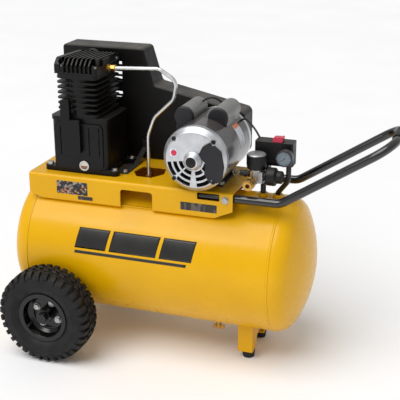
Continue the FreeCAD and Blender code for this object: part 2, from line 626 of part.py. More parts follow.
def make_crank_train():
    """The crankshaft with its bearings, and the two pistons half a turn apart."""
    front, rear = CYLINDER_Y
    throw = STROKE / 2
    shoulder = DRIVE_Y - DRIVE_WIDTH / 2
    bearings = []
    for start, end, radius in bearing_walls():
        bearings.append(ring(radius, JOURNAL_R + RUNNING, (PUMP_X, start, CRANK_Z), (PUMP_X, end, CRANK_Z)))
    shaft = [rod(JOURNAL_R, (PUMP_X, CRANKCASE_Y[0] + 1, CRANK_Z), (PUMP_X, front - 10, CRANK_Z)),
             rod(JOURNAL_R, (PUMP_X, front + 10, CRANK_Z), (PUMP_X, rear - 10, CRANK_Z)),
             rod(JOURNAL_R, (PUMP_X, rear + 10, CRANK_Z), (PUMP_X, shoulder, CRANK_Z)),
             rod(12.0, (PUMP_X, shoulder, CRANK_Z), (PUMP_X, DRIVE_Y + 16, CRANK_Z))]
    for y, offset in ((front, throw), (rear, -throw)):
        shaft.append(rod(12.0, (PUMP_X, y - 8, CRANK_Z + offset), (PUMP_X, y + 8, CRANK_Z + offset)))
        for web in ((y - 14, y - 8), (y + 8, y + 14)):
            shaft.append(rod(36.0, (PUMP_X, web[0], CRANK_Z), (PUMP_X, web[1], CRANK_Z)))
    save("crankshaft", union(shaft))
    crown = CYLINDER_TOP - 2.0
    for name, y, top in (("front", front, crown), ("rear", rear, crown - STROKE)):
        radius = BORE_R - RUNNING
        piston = rod(radius, (PUMP_X, y, top - 44), (PUMP_X, y, top))
        piston = piston.cut(rod(radius - 5, (PUMP_X, y, top - 45), (PUMP_X, y, top - 8)))
        bosses = [rod(10.0, (PUMP_X, y - 23, top - 26), (PUMP_X, y - 12, top - 26)),
                  rod(10.0, (PUMP_X, y + 12, top - 26), (PUMP_X, y + 23, top - 26))]
        pin = rod(6.0, (PUMP_X, y - 21, top - 26), (PUMP_X, y + 21, top - 26))
        save("piston_" + name, union([piston] + bosses).cut(pin), pin)
    return bearings


# ---------------------------------------------------------------- belt drive
def make_pulley(centre, outer, hub_r, bore_r, spokes):
    """A V-groove pulley, solid or with spokes."""
    x, z = centre
    half = DRIVE_WIDTH / 2
    groove = 8.5
    depth = 14.0
    profile = [(-half, outer - 22, 0), (-half, outer, 1), (-groove, outer, 0),
               (-groove + 4, outer - depth, 0), (groove - 4, outer - depth, 0), (groove, outer, 0),
               (half, outer, 1), (half, outer - 22, 0)]
    if not spokes:
        profile = [(a, r if r > outer - 20 else bore_r, c) for a, r, c in profile]
        return lathe(profile, (x, DRIVE_Y, z), "Y")
    solids = [lathe(profile, (x, DRIVE_Y, z), "Y"),
              ring(hub_r, bore_r, (x, DRIVE_Y - half, z), (x, DRIVE_Y + half, z))]
    for k in range(spokes):
        blade = block((x + hub_r - 2, x + outer - 20), (DRIVE_Y - 4, DRIVE_Y + 4), (z - 11, z + 11))
        blade.rotate(Vector(x, DRIVE_Y, z), AXES["X"], 28)
        blade.rotate(Vector(x, DRIVE_Y, z), AXES["Y"], 360 / spokes * k + 18)
        solids.append(blade)
    return union(solids)


def make_belt():
    """The V-belt: a closed band round both pulleys, riding just clear of the groove walls."""
    span = MOTOR_X - PUMP_X
    drop = MOTOR_Z - CRANK_Z
    length = math.hypot(span, drop)
    tilt = math.degrees(math.atan2(drop, span))
    loops = []
    for thickness, half in ((2.0, 5.2), (-5.0, 6.0)):
        large, small = FLYWHEEL_PITCH_R + thickness, PULLEY_PITCH_R + thickness
        lean = math.degrees(math.acos((large - small) / length))
        ends = []
        for radius, centre, first, last in ((large, (PUMP_X, CRANK_Z), tilt + lean, tilt + 360 - lean),
                                            (small, (MOTOR_X, MOTOR_Z), tilt - lean, tilt + lean)):
            turns = [polar(centre, radius, a) for a in (first, (first + last) / 2, last)]
            ends.append([on_plane("Y", u, v, DRIVE_Y - half) for u, v in turns])
        big, little = ends
        wire = Part.Wire([Part.Arc(*big).toShape(), Part.LineSegment(big[2], little[0]).toShape(),
                          Part.Arc(*little).toShape(), Part.LineSegment(little[2], big[0]).toShape()])
        loops.append(Part.Face(wire).extrude(AXES["Y"] * half * 2))
    return loops[0].cut(loops[1])


GUARD_OUTLINE = [(-329, 470, 60), (-329, 773, 10), (-95, 773, 12), (-66, 677, 12), (189, 622, 18),
                 (189, 500, 20), (100, 482, 30), (-150, 428, 40), (-270, 428, 60)]
LOUVRE_PITCH = 14.0


def guard_solid(inset):
    """The guard's filled shape, or its hollow: thick above the saddle and thinner beside it."""
    outline = Part.Wire(rounded_edges([on_plane("Y", u, v) for u, v, _ in GUARD_OUTLINE],
                                      [r for _, _, r in GUARD_OUTLINE], True))
    if inset > 0:
        outline = outline.makeOffset2D(-inset)
    front, back = GUARD_Y[0] + inset, GUARD_Y[1] - inset
    body = Part.Face(outline).extrude(AXES["Y"] * (back - front))
    body.translate(Vector(0, front, 0))
    if inset == 0:
        rim = [edge for edge in body.Edges if edge.BoundBox.YLength < 0.01]
        body = body.makeFillet(GUARD_EDGE, rim)
    below = block((-400, 300), (front - 10, GUARD_STEP_Y + inset), (400, GUARD_STEP_Z + inset))
    return body.cut(below)


def make_guard():
    """The two-part belt guard: a shell towards the pump and a louvred shell outside it."""
    shell = guard_solid(0.0).cut(guard_solid(GUARD_WALL))
    front = (GUARD_Y[0] - 1, GUARD_Y[0] + 10)
    for x, z, radius in ((PUMP_X, CRANK_Z, 30.0), (MOTOR_X, MOTOR_Z, 22.0)):
        shell = shell.cut(rod(radius, (x, front[0], z), (x, front[1], z)))
    shell = shell.cut(plate(rectangle((-192, -155), (638, 745), 8), "Y", *front))
    box = (-400, 300), (400, 800)
    near = shell.common(block(box[0], (GUARD_Y[0] - 1, GUARD_SPLIT_Y), box[1]))
    far = shell.common(block(box[0], (GUARD_SPLIT_Y, GUARD_Y[1] + 1), box[1]))
    louvres = []
    for k in range(-6, 12):
        z = CRANK_Z + k * LOUVRE_PITCH
        reach = 95.0 if k > 0 else math.sqrt(95.0 ** 2 - (k * LOUVRE_PITCH) ** 2)
        louvres.append(plate(rectangle((PUMP_X - reach, PUMP_X + reach), (z - 4, z + 4), 3.9), "Y",
                             GUARD_Y[1] - 10, GUARD_Y[1] + 1))
    save("belt_guard_inner", near)
    save("belt_guard_outer", far.cut(louvres[0].multiFuse(louvres[1:])))


def make_drive():
    save("flywheel", make_pulley((PUMP_X, CRANK_Z), FLYWHEEL_R, 30.0, 12.0, 5))
    save("motor_pulley", make_pulley((MOTOR_X, MOTOR_Z), PULLEY_R, 0, SHAFT_R, 0))
    save("drive_belt", make_belt())
    make_guard()
    top = SADDLE_TOP + 3
    foot = plate(rectangle((-120, -85), (-52, 28), 5), "Z", SADDLE_TOP, top)
    for x, y in BRACKET_FEET:
        foot = foot.cut(rod(MOUNT_R, (x, y, SADDLE_TOP - 1), (x, y, top + 1)))
    strut = plate([(16, top, 0), (26, top, 0), (GUARD_Y[0], top + 27, 0), (GUARD_Y[0], top + 50, 0),
                   (GUARD_Y[0] - 3, top + 50, 0), (GUARD_Y[0] - 3, top + 30, 0)], "X", -99, -85)
    save("guard_bracket", union([foot, strut]))
    return mounting_bolts(BRACKET_FEET, top)


# ---------------------------------------------------------------- motor
def motor_point(radius, degrees, y):
    x, z = polar((MOTOR_X, MOTOR_Z), radius, degrees)
    return (x, y, z)


def vent_slots(depth):
    """Three rings of curved cooling slots in the lower left of the end bell."""
    slots = []
    for inner, outer in ((58, 68), (43, 53), (28, 38)):
        start, end = motor_point(0, 0, MOTOR_FACE_Y - 2), motor_point(0, 0, MOTOR_FACE_Y + depth)
        band = ring(outer, inner, start, end)
        for first, last in ((188, 222), (228, 262), (278, 312), (318, 350)):
            reach = outer / math.cos(math.radians((last - first) / 2)) + 5
            wedge = [(MOTOR_X, MOTOR_Z, 0)]
            for angle in (first, last):
                u, v = polar((MOTOR_X, MOTOR_Z), reach, angle)
                wedge.append((u, v, 0))
            slots.append(band.common(plate(wedge, "Y", MOTOR_FACE_Y - 2, MOTOR_FACE_Y + depth)))
    return slots


def make_motor():
    centre = (MOTOR_X, 0, MOTOR_Z)

    def at(y):
        return (MOTOR_X, y, MOTOR_Z)

    inner = MOTOR_R - MOTOR_WALL
    save("motor_shell", ring(MOTOR_R, inner, at(SHELL_Y[0]), at(SHELL_Y[1])))
    front = lathe([(SHELL_Y[0], inner - 4, 0), (SHELL_Y[0], MOTOR_R, 0), (MOTOR_FACE_Y + 14, MOTOR_R, 6),
                   (MOTOR_FACE_Y, 70, 8), (MOTOR_FACE_Y, 16, 0), (MOTOR_FACE_Y + 22, 16, 0),
                   (MOTOR_FACE_Y + 22, 24, 0), (MOTOR_FACE_Y + 5, 24, 4), (MOTOR_FACE_Y + 5, 66, 4),
                   (MOTOR_FACE_Y + 16, inner - 4, 4)], centre, "Y")
    for slot in vent_slots(12):
        front = front.cut(slot)
    rear = lathe([(SHELL_Y[1], inner - 4, 0), (SHELL_Y[1], MOTOR_R, 0), (MOTOR_REAR_Y - 10, MOTOR_R, 6),
                  (MOTOR_REAR_Y, 66, 6), (MOTOR_REAR_Y, 16, 0), (MOTOR_REAR_Y - 16, 16, 0),
                  (MOTOR_REAR_Y - 16, 24, 0), (MOTOR_REAR_Y - 5, 24, 0), (MOTOR_REAR_Y - 5, 62, 4),
                  (MOTOR_REAR_Y - 14, inner - 4, 4)], centre, "Y")
    bolts = []
    for angle in THROUGH_BOLT_ANGLES:
        x, _, z = motor_point(THROUGH_BOLT_CIRCLE, angle, 0)
        seat = (x, MOTOR_FACE_Y + 5, z)
        hole = rod(3.0, (x, MOTOR_FACE_Y - 1, z), (x, MOTOR_REAR_Y + 1, z))
        boss = rod(7.0, (x, MOTOR_FACE_Y + 5, z), (x, MOTOR_FACE_Y + 20, z))
        front = front.cut(rod(7.5, (x, MOTOR_FACE_Y - 1, z), (x, MOTOR_FACE_Y + 5, z))).fuse(boss).cut(hole)
        rear = rear.cut(hole)
        bolts.append(bolt(seat, (0, -1, 0), 3.0, MOTOR_REAR_Y - MOTOR_FACE_Y - 8))
    save("motor_end_bells", front.removeSplitter(), rear)
    bearings = [ring(16, SHAFT_R + RUNNING, at(MOTOR_FACE_Y + 8), at(MOTOR_FACE_Y + 20)),
                ring(16, SHAFT_R + RUNNING, at(MOTOR_REAR_Y - 15), at(MOTOR_REAR_Y - 3))]
    save("shaft_cap", lathe([(MOTOR_FACE_Y, 0, 0), (MOTOR_FACE_Y, 24, 0), (-153, 24, 3), (-166, 15, 4),
                             (-168, 0, 0), (-164, 0, 0), (-163, 12, 2), (-150, 14, 0), (-150, 0, 0)],
                            centre, "Y"))
    stator = ring(inner - 15, 50, at(-75), at(40)).fuse(ring(inner, inner - 15, at(-60), at(25)))
    for angle in THROUGH_BOLT_ANGLES:
        x, _, z = motor_point(THROUGH_BOLT_CIRCLE, angle, 0)
        stator = stator.cut(rod(3.5, (x, -80, z), (x, 45, z)))
    save("stator", stator)
    save("rotor", union([rod(SHAFT_R, at(MOTOR_FACE_Y + 2), at(DRIVE_Y + 14)), rod(49.0, at(-60), at(25)),
                         ring(44, 30, at(-72), at(-60)), ring(44, 30, at(25), at(37))]))
    return bolts, bearings


def make_motor_fittings():
    """The base cradle, terminal cover, capacitor housings and the lead to the pressure switch."""
    base_y = (-66.0, 58.0)
    cradle = plate([(80, SADDLE_TOP, 0), (180, SADDLE_TOP, 0), (180, SADDLE_TOP + 4, 0),
                    (166, SADDLE_TOP + 4, 0), (186, 500, 4), (183, 504, 0), (77, 504, 0), (74, 500, 4),
                    (94, SADDLE_TOP + 4, 0), (80, SADDLE_TOP + 4, 0)], "Y", *base_y)
    cradle = cradle.cut(rod(MOTOR_R, (MOTOR_X, base_y[0] - 1, MOTOR_Z), (MOTOR_X, base_y[1] + 1, MOTOR_Z)))
    wells = []
    for x, y in MOTOR_FEET:
        cradle = cradle.cut(rod(MOUNT_R, (x, y, SADDLE_TOP - 1), (x, y, SADDLE_TOP + 60)))
        wells.append(rod(11.0, (x, y, SADDLE_TOP + 4), (x, y, SADDLE_TOP + 60)))
    for well in wells:
        cradle = cradle.cut(well)
    save("motor_base", max(cradle.Solids, key=lambda solid: solid.Volume))

    cover = plate([(MOTOR_X + 14, 574, 8), (MOTOR_X + 26, 598, 8), (MOTOR_X + 46, 610, 8),
                   (MOTOR_X + 72, 588, 8), (MOTOR_X + 79, 550, 8), (MOTOR_X + 74, 514, 8),
                   (MOTOR_X + 46, 503, 8), (MOTOR_X + 30, 530, 10), (MOTOR_X + 34, 556, 10)],
                  "Y", MOTOR_FACE_Y - 7, MOTOR_FACE_Y)
    for angle in (45, 315):
        x, _, z = motor_point(THROUGH_BOLT_CIRCLE, angle, 0)
        cover = cover.cut(rod(8.0, (x, MOTOR_FACE_Y - 8, z), (x, MOTOR_FACE_Y + 1, z)))
    cover = cover.cut(rod(24.5, motor_point(0, 0, MOTOR_FACE_Y - 8), motor_point(0, 0, MOTOR_FACE_Y + 1)))
    save("terminal_cover", max(cover.Solids, key=lambda solid: solid.Volume))

    covers, ends = [], []
    can = rod(MOTOR_R, (MOTOR_X, SHELL_Y[0], MOTOR_Z), (MOTOR_X, SHELL_Y[1] + 30, MOTOR_Z))
    split = CAP_Y[0] + 8
    for x, z in CAP_CENTRES:
        body = lathe([(split, 0, 0), (split, CAP_R, 0), (CAP_Y[1], CAP_R, 14), (CAP_Y[1], 0, 0)],
                     (x, 0, z), "Y")
        skirt = block((x - CAP_R + 3, x + CAP_R - 3), (split, CAP_Y[1] - 12), (MOTOR_Z, z))
        covers.append(body.fuse(skirt).cut(can).removeSplitter())
        end = lathe([(CAP_Y[0], 0, 0), (CAP_Y[0], CAP_R + 1, 5), (split, CAP_R + 1, 0), (split, 0, 0)],
                    (x, 0, z), "Y")
        ends.append(end.cut(can))
    save("capacitor_covers", *covers, *ends)
    return mounting_bolts(MOTOR_FEET, SADDLE_TOP + 4)


MOTOR_CABLE = ((186.0, 46.0, 610.0), (205.0, 42.0, 624.0), (223.0, 31.0, 613.0), (240.0, 22.0, 598.0),
               (252.0, 15.0, 583.0))
CABLE_R = 2.6


def make_cable():
    radii = []
    for k in range(len(MOTOR_CABLE)):
        if k in (0, len(MOTOR_CABLE) - 1):
            radii.append(0)
            continue
        a, b, c = [Vector(*MOTOR_CABLE[j]) for j in (k - 1, k, k + 1)]
        turn = (b - a).getAngle(c - b)
        radii.append(0.45 * min((b - a).Length, (c - b).Length) / math.tan(turn / 2))
    print("cable radii", [round(r, 1) for r in radii])
    cable = tube(MOTOR_CABLE, radii, CABLE_R)
    cable = cable.cut(rod(MOTOR_R, motor_point(0, 0, SHELL_Y[0]), motor_point(0, 0, SHELL_Y[1])))
    cable = cable.cut(block(SWITCH_X, SWITCH_Y, SWITCH_Z))
    save("motor_cable", max(cable.Solids, key=lambda solid: solid.Volume))


# ---------------------------------------------------------------- air fittings
def make_air_tube():
    """The discharge tube from the head down to the check valve on the tank."""
    end_x = HEAD_X[1]
    fitting = union([hexagon(17.0, (end_x, -20, 742), (end_x + 8, -20, 742)),
                     rod(6.5, (end_x + 8, -20, 742), (end_x + 12, -20, 742)),
                     hexagon(15.0, (end_x + 12, -20, 742), (end_x + 24, -20, 742))])
    start_x = end_x + 24
    top = BUNG_TOP + 18
    route = [(start_x, -20, 742), (-6, -19, 748), (41, -18, 720), (33, -17, 672), (-22, -14, 620),
             (CHECK_X, CHECK_Y, 570), (CHECK_X, CHECK_Y, top)]
    save("discharge_tube", tube(route, [0, 32, 26, 34, 50, 60, 0], 5.0, 3.5))
    valve = union([rod(8.0, (CHECK_X, CHECK_Y, BUNG_TOP - 12), (CHECK_X, CHECK_Y, BUNG_TOP)),
                   hexagon(20.0, (CHECK_X, CHECK_Y, BUNG_TOP), (CHECK_X, CHECK_Y, BUNG_TOP + 9)),
                   hexagon(16.0, (CHECK_X, CHECK_Y, BUNG_TOP + 9), (CHECK_X, CHECK_Y, top))])
    save("tube_fittings", fitting, valve)


def make_switch():
    """The pressure switch, its pipe up from the tank and its on-off knob."""
    low_z, high_z = SWITCH_Z
    split = low_z + 12
    base = plate(rectangle(SWITCH_X, SWITCH_Y, 5), "Z", low_z, split)
    cover = plate(rectangle(SWITCH_X, SWITCH_Y, 5), "Z", split, high_z)
    wall = 2.5
    inside = block((SWITCH_X[0] + wall, SWITCH_X[1] - wall), (SWITCH_Y[0] + wall, SWITCH_Y[1] - wall),
                   (split - 1, high_z - wall))
    knob_x = (292.0, 319.0)
    knob_y = (-17.0, 3.0)
    stem = (knob_x[0] + 8, knob_x[1] - 8), (knob_y[0] + 6, knob_y[1] - 6)
    opening = block((stem[0][0] - CLEAR, stem[0][1] + CLEAR), (stem[1][0] - CLEAR, stem[1][1] + CLEAR),
                    (high_z - 5, high_z + 1))
    gauge_hole = rod(6.0, (GAUGE_X, SWITCH_Y[0] - 1, GAUGE_Z), (GAUGE_X, SWITCH_Y[0] + 2, GAUGE_Z))
    base = base.cut(rod(NIPPLE_R + 2, (NIPPLE_X, 0, low_z - 1), (NIPPLE_X, 0, low_z + 8)))
    save("switch_base", base, block((256, 290), (-14, 16), (split, split + 24)))
    save("switch_cover", cover.cut(inside).cut(opening).cut(gauge_hole))
    knob = plate([(knob_x[0] + 1, high_z + CLEAR, 2), (knob_x[1] - 1, high_z + CLEAR, 2),
                  (knob_x[1] + 1, high_z + 16, 2), (knob_x[1] - 4, high_z + 13, 2),
                  (knob_x[0] + 2, high_z + 12, 3)], "Y", *knob_y)
    shank = block(stem[0], stem[1], (high_z - 16, high_z + 4))
    save("switch_knob", union([knob, shank]))
    cross = (MANIFOLD_Z - 15, MANIFOLD_Z + 13)
    nipples = [rod(NIPPLE_R, (NIPPLE_X, 0, BUNG_TOP - 14), (NIPPLE_X, 0, cross[0])),
               rod(NIPPLE_R + 2, (NIPPLE_X, 0, cross[1]), (NIPPLE_X, 0, low_z + 8))]
    block_body = plate(rectangle((NIPPLE_X - 16, NIPPLE_X + 16), (-16, 16), 4), "Z", *cross)
    branch = rod(9.0, (REGULATOR_X + 2, -15, MANIFOLD_Z), (REGULATOR_X + 2, REGULATOR_Y + 18, MANIFOLD_Z))
    return nipples + [union([block_body, branch])]


def make_regulator():
    """The pressure regulator with its knob, the quick coupler and the horizontal filter bowl."""
    x, y, z = REGULATOR_X, REGULATOR_Y, MANIFOLD_Z
    body = union([plate(rectangle((x - 10, x + 17), (y - 14, y + 18), 4), "Z", z - 17, z + 12),
                  rod(17.0, (x - 3, y, z + 12), (x - 3, y, z + 17))])
    knob_x = x - 3
    base_z = z + 17
    knob = lathe([(base_z + CLEAR, 6, 0), (base_z + CLEAR, 23, 3), (base_z + 12, 25, 2), (base_z + 34, 25, 0),
                  (base_z + 39, 22, 3), (base_z + 39, 6, 0)], (knob_x, y, 0), "Z")
    stem_end = base_z + 36
    spindle = rod(5.5, (knob_x, y, z), (knob_x, y, stem_end))
    save("regulator_body", body.cut(spindle), spindle)
    knob = union([knob, rod(20.0, (knob_x, y, base_z + 36.5), (knob_x, y, base_z + 40))])
    save("regulator_knob", knob.cut(rod(5.5 + CLEAR, (knob_x, y, base_z), (knob_x, y, base_z + 36.5))))
    bowl = lathe([(x + 17, 0, 0), (x + 17, 12, 0), (x + 25, 12, 0), (x + 25, 23, 3), (x + 47, 23, 5),
                  (x + 50, 16, 3), (x + 65, 16, 5), (x + 65, 0, 0)], (0, y, z), "X")
    save("air_filter_bowl", bowl)

    cx, cz = COUPLER_X, COUPLER_Z
    start = y - 18
    elbow = plate(rectangle((x - 21, x - 10), (start, y + 12), 2), "Z", cz - 11, cz + 11)
    elbow = elbow.fuse(block((x - 12, x), (start, y - 14), (cz - 9, cz + 9)))
    stem = union([elbow, hexagon(20.0, (cx, start, cz), (cx, start - 10, cz)),
                  rod(9.0, (cx, start - 10, cz), (cx, start - 34, cz)),
                  rod(11.0, (cx, start - 34, cz), (cx, start - 37, cz))])
    stem = stem.cut(rod(COUPLER_BORE_R, (cx, start - 8, cz), (cx, start - 38, cz)))
    save("coupler_body", stem)
    save("coupler_sleeve", ring(13.5, 9.0 + RUNNING, (cx, start - 14.5, cz), (cx, start - 33.5, cz)))
    valve_x = x - 21
    safety = union([rod(7.0, (valve_x, y, z + 2), (valve_x - 6, y, z + 2)),
                    hexagon(16.0, (valve_x - 6, y, z + 2), (valve_x - 12, y, z + 2)),
                    rod(7.5, (valve_x - 12, y, z + 2), (valve_x - 23, y, z + 2))])
    safety = safety.cut(rod(2.0 + RUNNING, (valve_x - 14, y, z + 2), (valve_x - 24, y, z + 2)))
    pin = rod(2.0, (valve_x - 16, y, z + 2), (valve_x - 27, y, z + 2))
    loop = Part.makeTorus(8.0, 1.2, Vector(valve_x - 34.5, y, z + 2), Vector(0, 1, 0))
    save("safety_ring", union([pin, loop]))
    return [safety]


def make_gauge():
    """The tank pressure gauge and the bent pipe that feeds it from the tank."""
    front_y = REGULATOR_Y
    back_y = SWITCH_Y[0]
    back = front_y + GAUGE_DEPTH
    case = lathe([(front_y + 3, 0, 0), (front_y + 3, 18, 0), (front_y, 18, 0), (front_y, 20.5, 1),
                  (front_y + 5, GAUGE_R, 1), (back, 19.5, 3), (back, 0, 0)],
                 (GAUGE_X, 0, GAUGE_Z), "Y")
    stem = rod(6.0, (GAUGE_X, back, GAUGE_Z), (GAUGE_X, back_y + 2, GAUGE_Z))
    lens = rod(18.0, (GAUGE_X, front_y + 0.5, GAUGE_Z), (GAUGE_X, front_y + 2, GAUGE_Z))
    dial_y = front_y + 6
    pocket = rod(16.5, (GAUGE_X, front_y + 3, GAUGE_Z), (GAUGE_X, dial_y, GAUGE_Z))
    save("tank_gauge", case.fuse(stem).cut(pocket).removeSplitter(), lens)
    needle_y = (dial_y - 2.4, dial_y - 1.6)
    needle = union([block((GAUGE_X - 0.8, GAUGE_X + 0.8), needle_y, (GAUGE_Z - 4, GAUGE_Z + 13)),
                    rod(2.5, (GAUGE_X, needle_y[0], GAUGE_Z), (GAUGE_X, dial_y - 0.4, GAUGE_Z))])
    needle.rotate(Vector(GAUGE_X, 0, GAUGE_Z), AXES["Y"], -135)
    save("gauge_needle", needle)
    route = [(RISER_X, 0, BUNG_TOP - 12), (RISER_X, 0, BUNG_TOP + 4), (GAUGE_X + 10, -45, 497),
             (GAUGE_X + 10, -45, GAUGE_Z - 12)]
    riser = tube(route, [0, 8, 26, 0], 6.5, 4.5)
    return [riser.cut(rod(GAUGE_R, (GAUGE_X, front_y, GAUGE_Z), (GAUGE_X, back, GAUGE_Z)))]


def make_drain():
    """The drain valve under the tank, with its wing handle."""
    low = DRAIN_BUNG[0]
    body = union([rod(8.0, (DRAIN_X, 0, low + 10), (DRAIN_X, 0, low)),
                  hexagon(19.0, (DRAIN_X, 0, low), (DRAIN_X, 0, low - 10)),
                  rod(7.5, (DRAIN_X, 0, low - 10), (DRAIN_X, 0, low - 18))])
    body = body.cut(rod(3.0 + RUNNING, (DRAIN_X, 0, low - 4), (DRAIN_X, 0, low - 19)))
    save("drain_valve_body", body)
    wing_z = (low - 32, low - 18 - CLEAR)
    wing = plate([(DRAIN_X - 16, wing_z[1] - 3, 2), (DRAIN_X - 16, wing_z[0], 3),
                  (DRAIN_X + 16, wing_z[0], 3), (DRAIN_X + 16, wing_z[1] - 3, 2)], "Y", -2.5, 2.5)
    stem = rod(3.0, (DRAIN_X, 0, low - 6), (DRAIN_X, 0, wing_z[1] - 8))
    boss = rod(7.0, (DRAIN_X, 0, wing_z[1]), (DRAIN_X, 0, wing_z[1] - 8))
    save("drain_handle", union([wing, stem, boss]))


def main():
    os.makedirs("parts", exist_ok=True)
    bungs = make_tank()
    make_wheel("front", -1)
    make_wheel("back", 1)
    brackets = make_axles()
    save("tank_weldments", *bungs, *brackets)
    foot_bolts = make_leg()
    make_saddle()
    handle_bolts = make_handle()
    pump_bolts = make_crankcase()
    head_bolts = make_cylinder_and_head()
    crank_bearings = make_crank_train()
    bracket_bolts = make_drive()
    through_bolts, motor_bearings = make_motor()
    motor_bolts = make_motor_fittings()
    save("mounting_bolts", *foot_bolts, *handle_bolts, *pump_bolts, *bracket_bolts, *motor_bolts)
    save("cap_screws", *head_bolts, *through_bolts)
    save("shaft_bearings", *crank_bearings, *motor_bearings)
    make_cable()
    make_air_tube()
    save("manifold", *make_switch(), *make_regulator(), *make_gauge())
    make_drain()


main()
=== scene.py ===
"""Looks of the belt-driven air compressor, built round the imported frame.

One procedural material for each finish, the pieces that carry finer detail than the frame, a pale floor,
soft studio light and the camera. Metres, +Z up, in the frame's own axes.
"""
import json
import math

import bmesh
import bpy
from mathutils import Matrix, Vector, noise


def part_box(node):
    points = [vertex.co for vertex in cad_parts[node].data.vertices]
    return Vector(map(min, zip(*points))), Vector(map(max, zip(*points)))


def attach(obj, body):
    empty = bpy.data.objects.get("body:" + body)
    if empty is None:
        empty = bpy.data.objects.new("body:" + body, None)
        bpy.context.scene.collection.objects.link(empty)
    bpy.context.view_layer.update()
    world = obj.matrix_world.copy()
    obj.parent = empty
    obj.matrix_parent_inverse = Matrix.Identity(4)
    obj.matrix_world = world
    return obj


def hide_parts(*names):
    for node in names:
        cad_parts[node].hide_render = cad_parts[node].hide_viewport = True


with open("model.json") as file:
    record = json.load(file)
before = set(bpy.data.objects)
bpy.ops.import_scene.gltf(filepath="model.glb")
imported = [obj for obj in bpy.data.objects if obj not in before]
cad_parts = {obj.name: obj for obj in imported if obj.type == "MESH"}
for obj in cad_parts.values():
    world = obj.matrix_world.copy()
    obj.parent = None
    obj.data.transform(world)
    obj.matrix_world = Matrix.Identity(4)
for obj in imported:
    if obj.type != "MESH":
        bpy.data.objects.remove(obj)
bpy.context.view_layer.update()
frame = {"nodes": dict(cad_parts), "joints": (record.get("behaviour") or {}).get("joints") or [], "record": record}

NODES = frame["nodes"]
SLOT_OF = {part["node"]: part["material_slot"] for part in frame["record"]["subparts"]}
MM = 0.001
BEVEL_SAMPLES = 4
EDGE_AGREEMENT = (0.99, 0.80)
NOISE_ROUGHNESS = 0.55


# ---------------------------------------------------------------- material helpers
class Finish:
    """A procedural material being wired up round one Principled shader."""

    def __init__(self, name):
        self.material = bpy.data.materials.new(name)
        self.material.use_nodes = True
        self.tree = self.material.node_tree
        self.shader = self.tree.nodes["Principled BSDF"]
        self.coords = self.node("ShaderNodeTexCoord").outputs["Object"]
        self.edge_normal = None

    def node(self, kind, **inputs):
        """Adds a node and sets or links its inputs, named with _ for a space."""
        made = self.tree.nodes.new(kind)
        for socket, value in inputs.items():
            self.feed(made.inputs[socket.replace("_", " ")], value)
        return made

    def feed(self, socket, value):
        """Sets a socket, or links it when the value is another node's output."""
        if isinstance(value, bpy.types.NodeSocket):
            self.tree.links.new(value, socket)
        else:
            socket.default_value = value

    def noise(self, scale, detail=4.0, stretch=None):
        """Noise from 0 to 1 over the object's own coordinates."""
        place = self.coords
        if stretch:
            place = self.node("ShaderNodeVectorMath", Vector=place).outputs[0]
            place.node.operation = "MULTIPLY"
            place.node.inputs[1].default_value = stretch
        made = self.node("ShaderNodeTexNoise", Vector=place, Scale=scale, Detail=detail,
                         Roughness=NOISE_ROUGHNESS)
        return made.outputs["Fac"]

    def wave(self, scale, axis):
        """Soft bands from 0 to 1 along one axis."""
        made = self.node("ShaderNodeTexWave", Vector=self.coords, Scale=scale)
        made.bands_direction = axis
        return made.outputs["Fac"]

    def span(self, value, low, high, to_low=0.0, to_high=1.0):
        """Maps a stretch of a value onto another, clamped."""
        made = self.node("ShaderNodeMapRange", Value=value)
        for index, limit in enumerate((low, high, to_low, to_high), 1):
            made.inputs[index].default_value = limit
        return made.outputs[0]

    def patches(self, scale, detail, low, high, to_low=0.0, to_high=1.0):
        """Noise stretched between two levels, so that it makes soft-edged patches."""
        return self.span(self.noise(scale, detail), low, high, to_low, to_high)

    def math(self, operation, first, second):
        """One arithmetic step on two values."""
        made = self.node("ShaderNodeMath")
        made.operation = operation
        self.feed(made.inputs[0], first)
        self.feed(made.inputs[1], second)
        return made.outputs[0]

    def mix(self, amount, first, second):
        """Blends two colours."""
        made = self.node("ShaderNodeMix")
        made.data_type = "RGBA"
        self.feed(made.inputs[0], amount)
        self.feed(made.inputs[6], first)
        self.feed(made.inputs[7], second)
        return made.outputs[2]

    def over(self, body, colour, mask, strength):
        """Lays a colour over the body where a mask is, at some strength."""
        return self.mix(self.math("MULTIPLY", mask, strength), body, colour)

    def edges(self, width):
        """1 on convex edges and in creases, 0 on flats, from a bevelled normal."""
        bevel = self.node("ShaderNodeBevel", Radius=width)
        bevel.samples = BEVEL_SAMPLES
        self.edge_normal = bevel.outputs[0]
        flat = self.node("ShaderNodeNewGeometry").outputs["Normal"]
        dot = self.node("ShaderNodeVectorMath")
        dot.operation = "DOT_PRODUCT"
        self.feed(dot.inputs[0], self.edge_normal)
        self.feed(dot.inputs[1], flat)
        return self.span(dot.outputs["Value"], *EDGE_AGREEMENT)

    def facing_up(self, low=0.4):
        """1 on surfaces that face up: where dust settles, and where the paints also get a painted sheen."""
        normal = self.node("ShaderNodeNewGeometry").outputs["Normal"]
        parts = self.node("ShaderNodeSeparateXYZ", Vector=normal)
        return self.span(parts.outputs["Z"], low, 1.0)

    def bump(self, layers):
        """Stacks bump layers of (height, strength, distance in metres)."""
        normal = self.edge_normal
        for height, strength, distance in layers:
            made = self.node("ShaderNodeBump", Height=height, Strength=strength, Distance=distance)
            if normal is not None:
                self.feed(made.inputs["Normal"], normal)
            normal = made.outputs[0]
        self.feed(self.shader.inputs["Normal"], normal)

    def set(self, **inputs):
        """Sets or links the shader's own sockets."""
        for socket, value in inputs.items():
            self.feed(self.shader.inputs[socket.replace("_", " ")], value)


def rgb(red, green, blue):
    """A colour from its 0 to 255 screen values."""
    return tuple((value / 255) ** 2.2 for value in (red, green, blue)) + (1.0,)
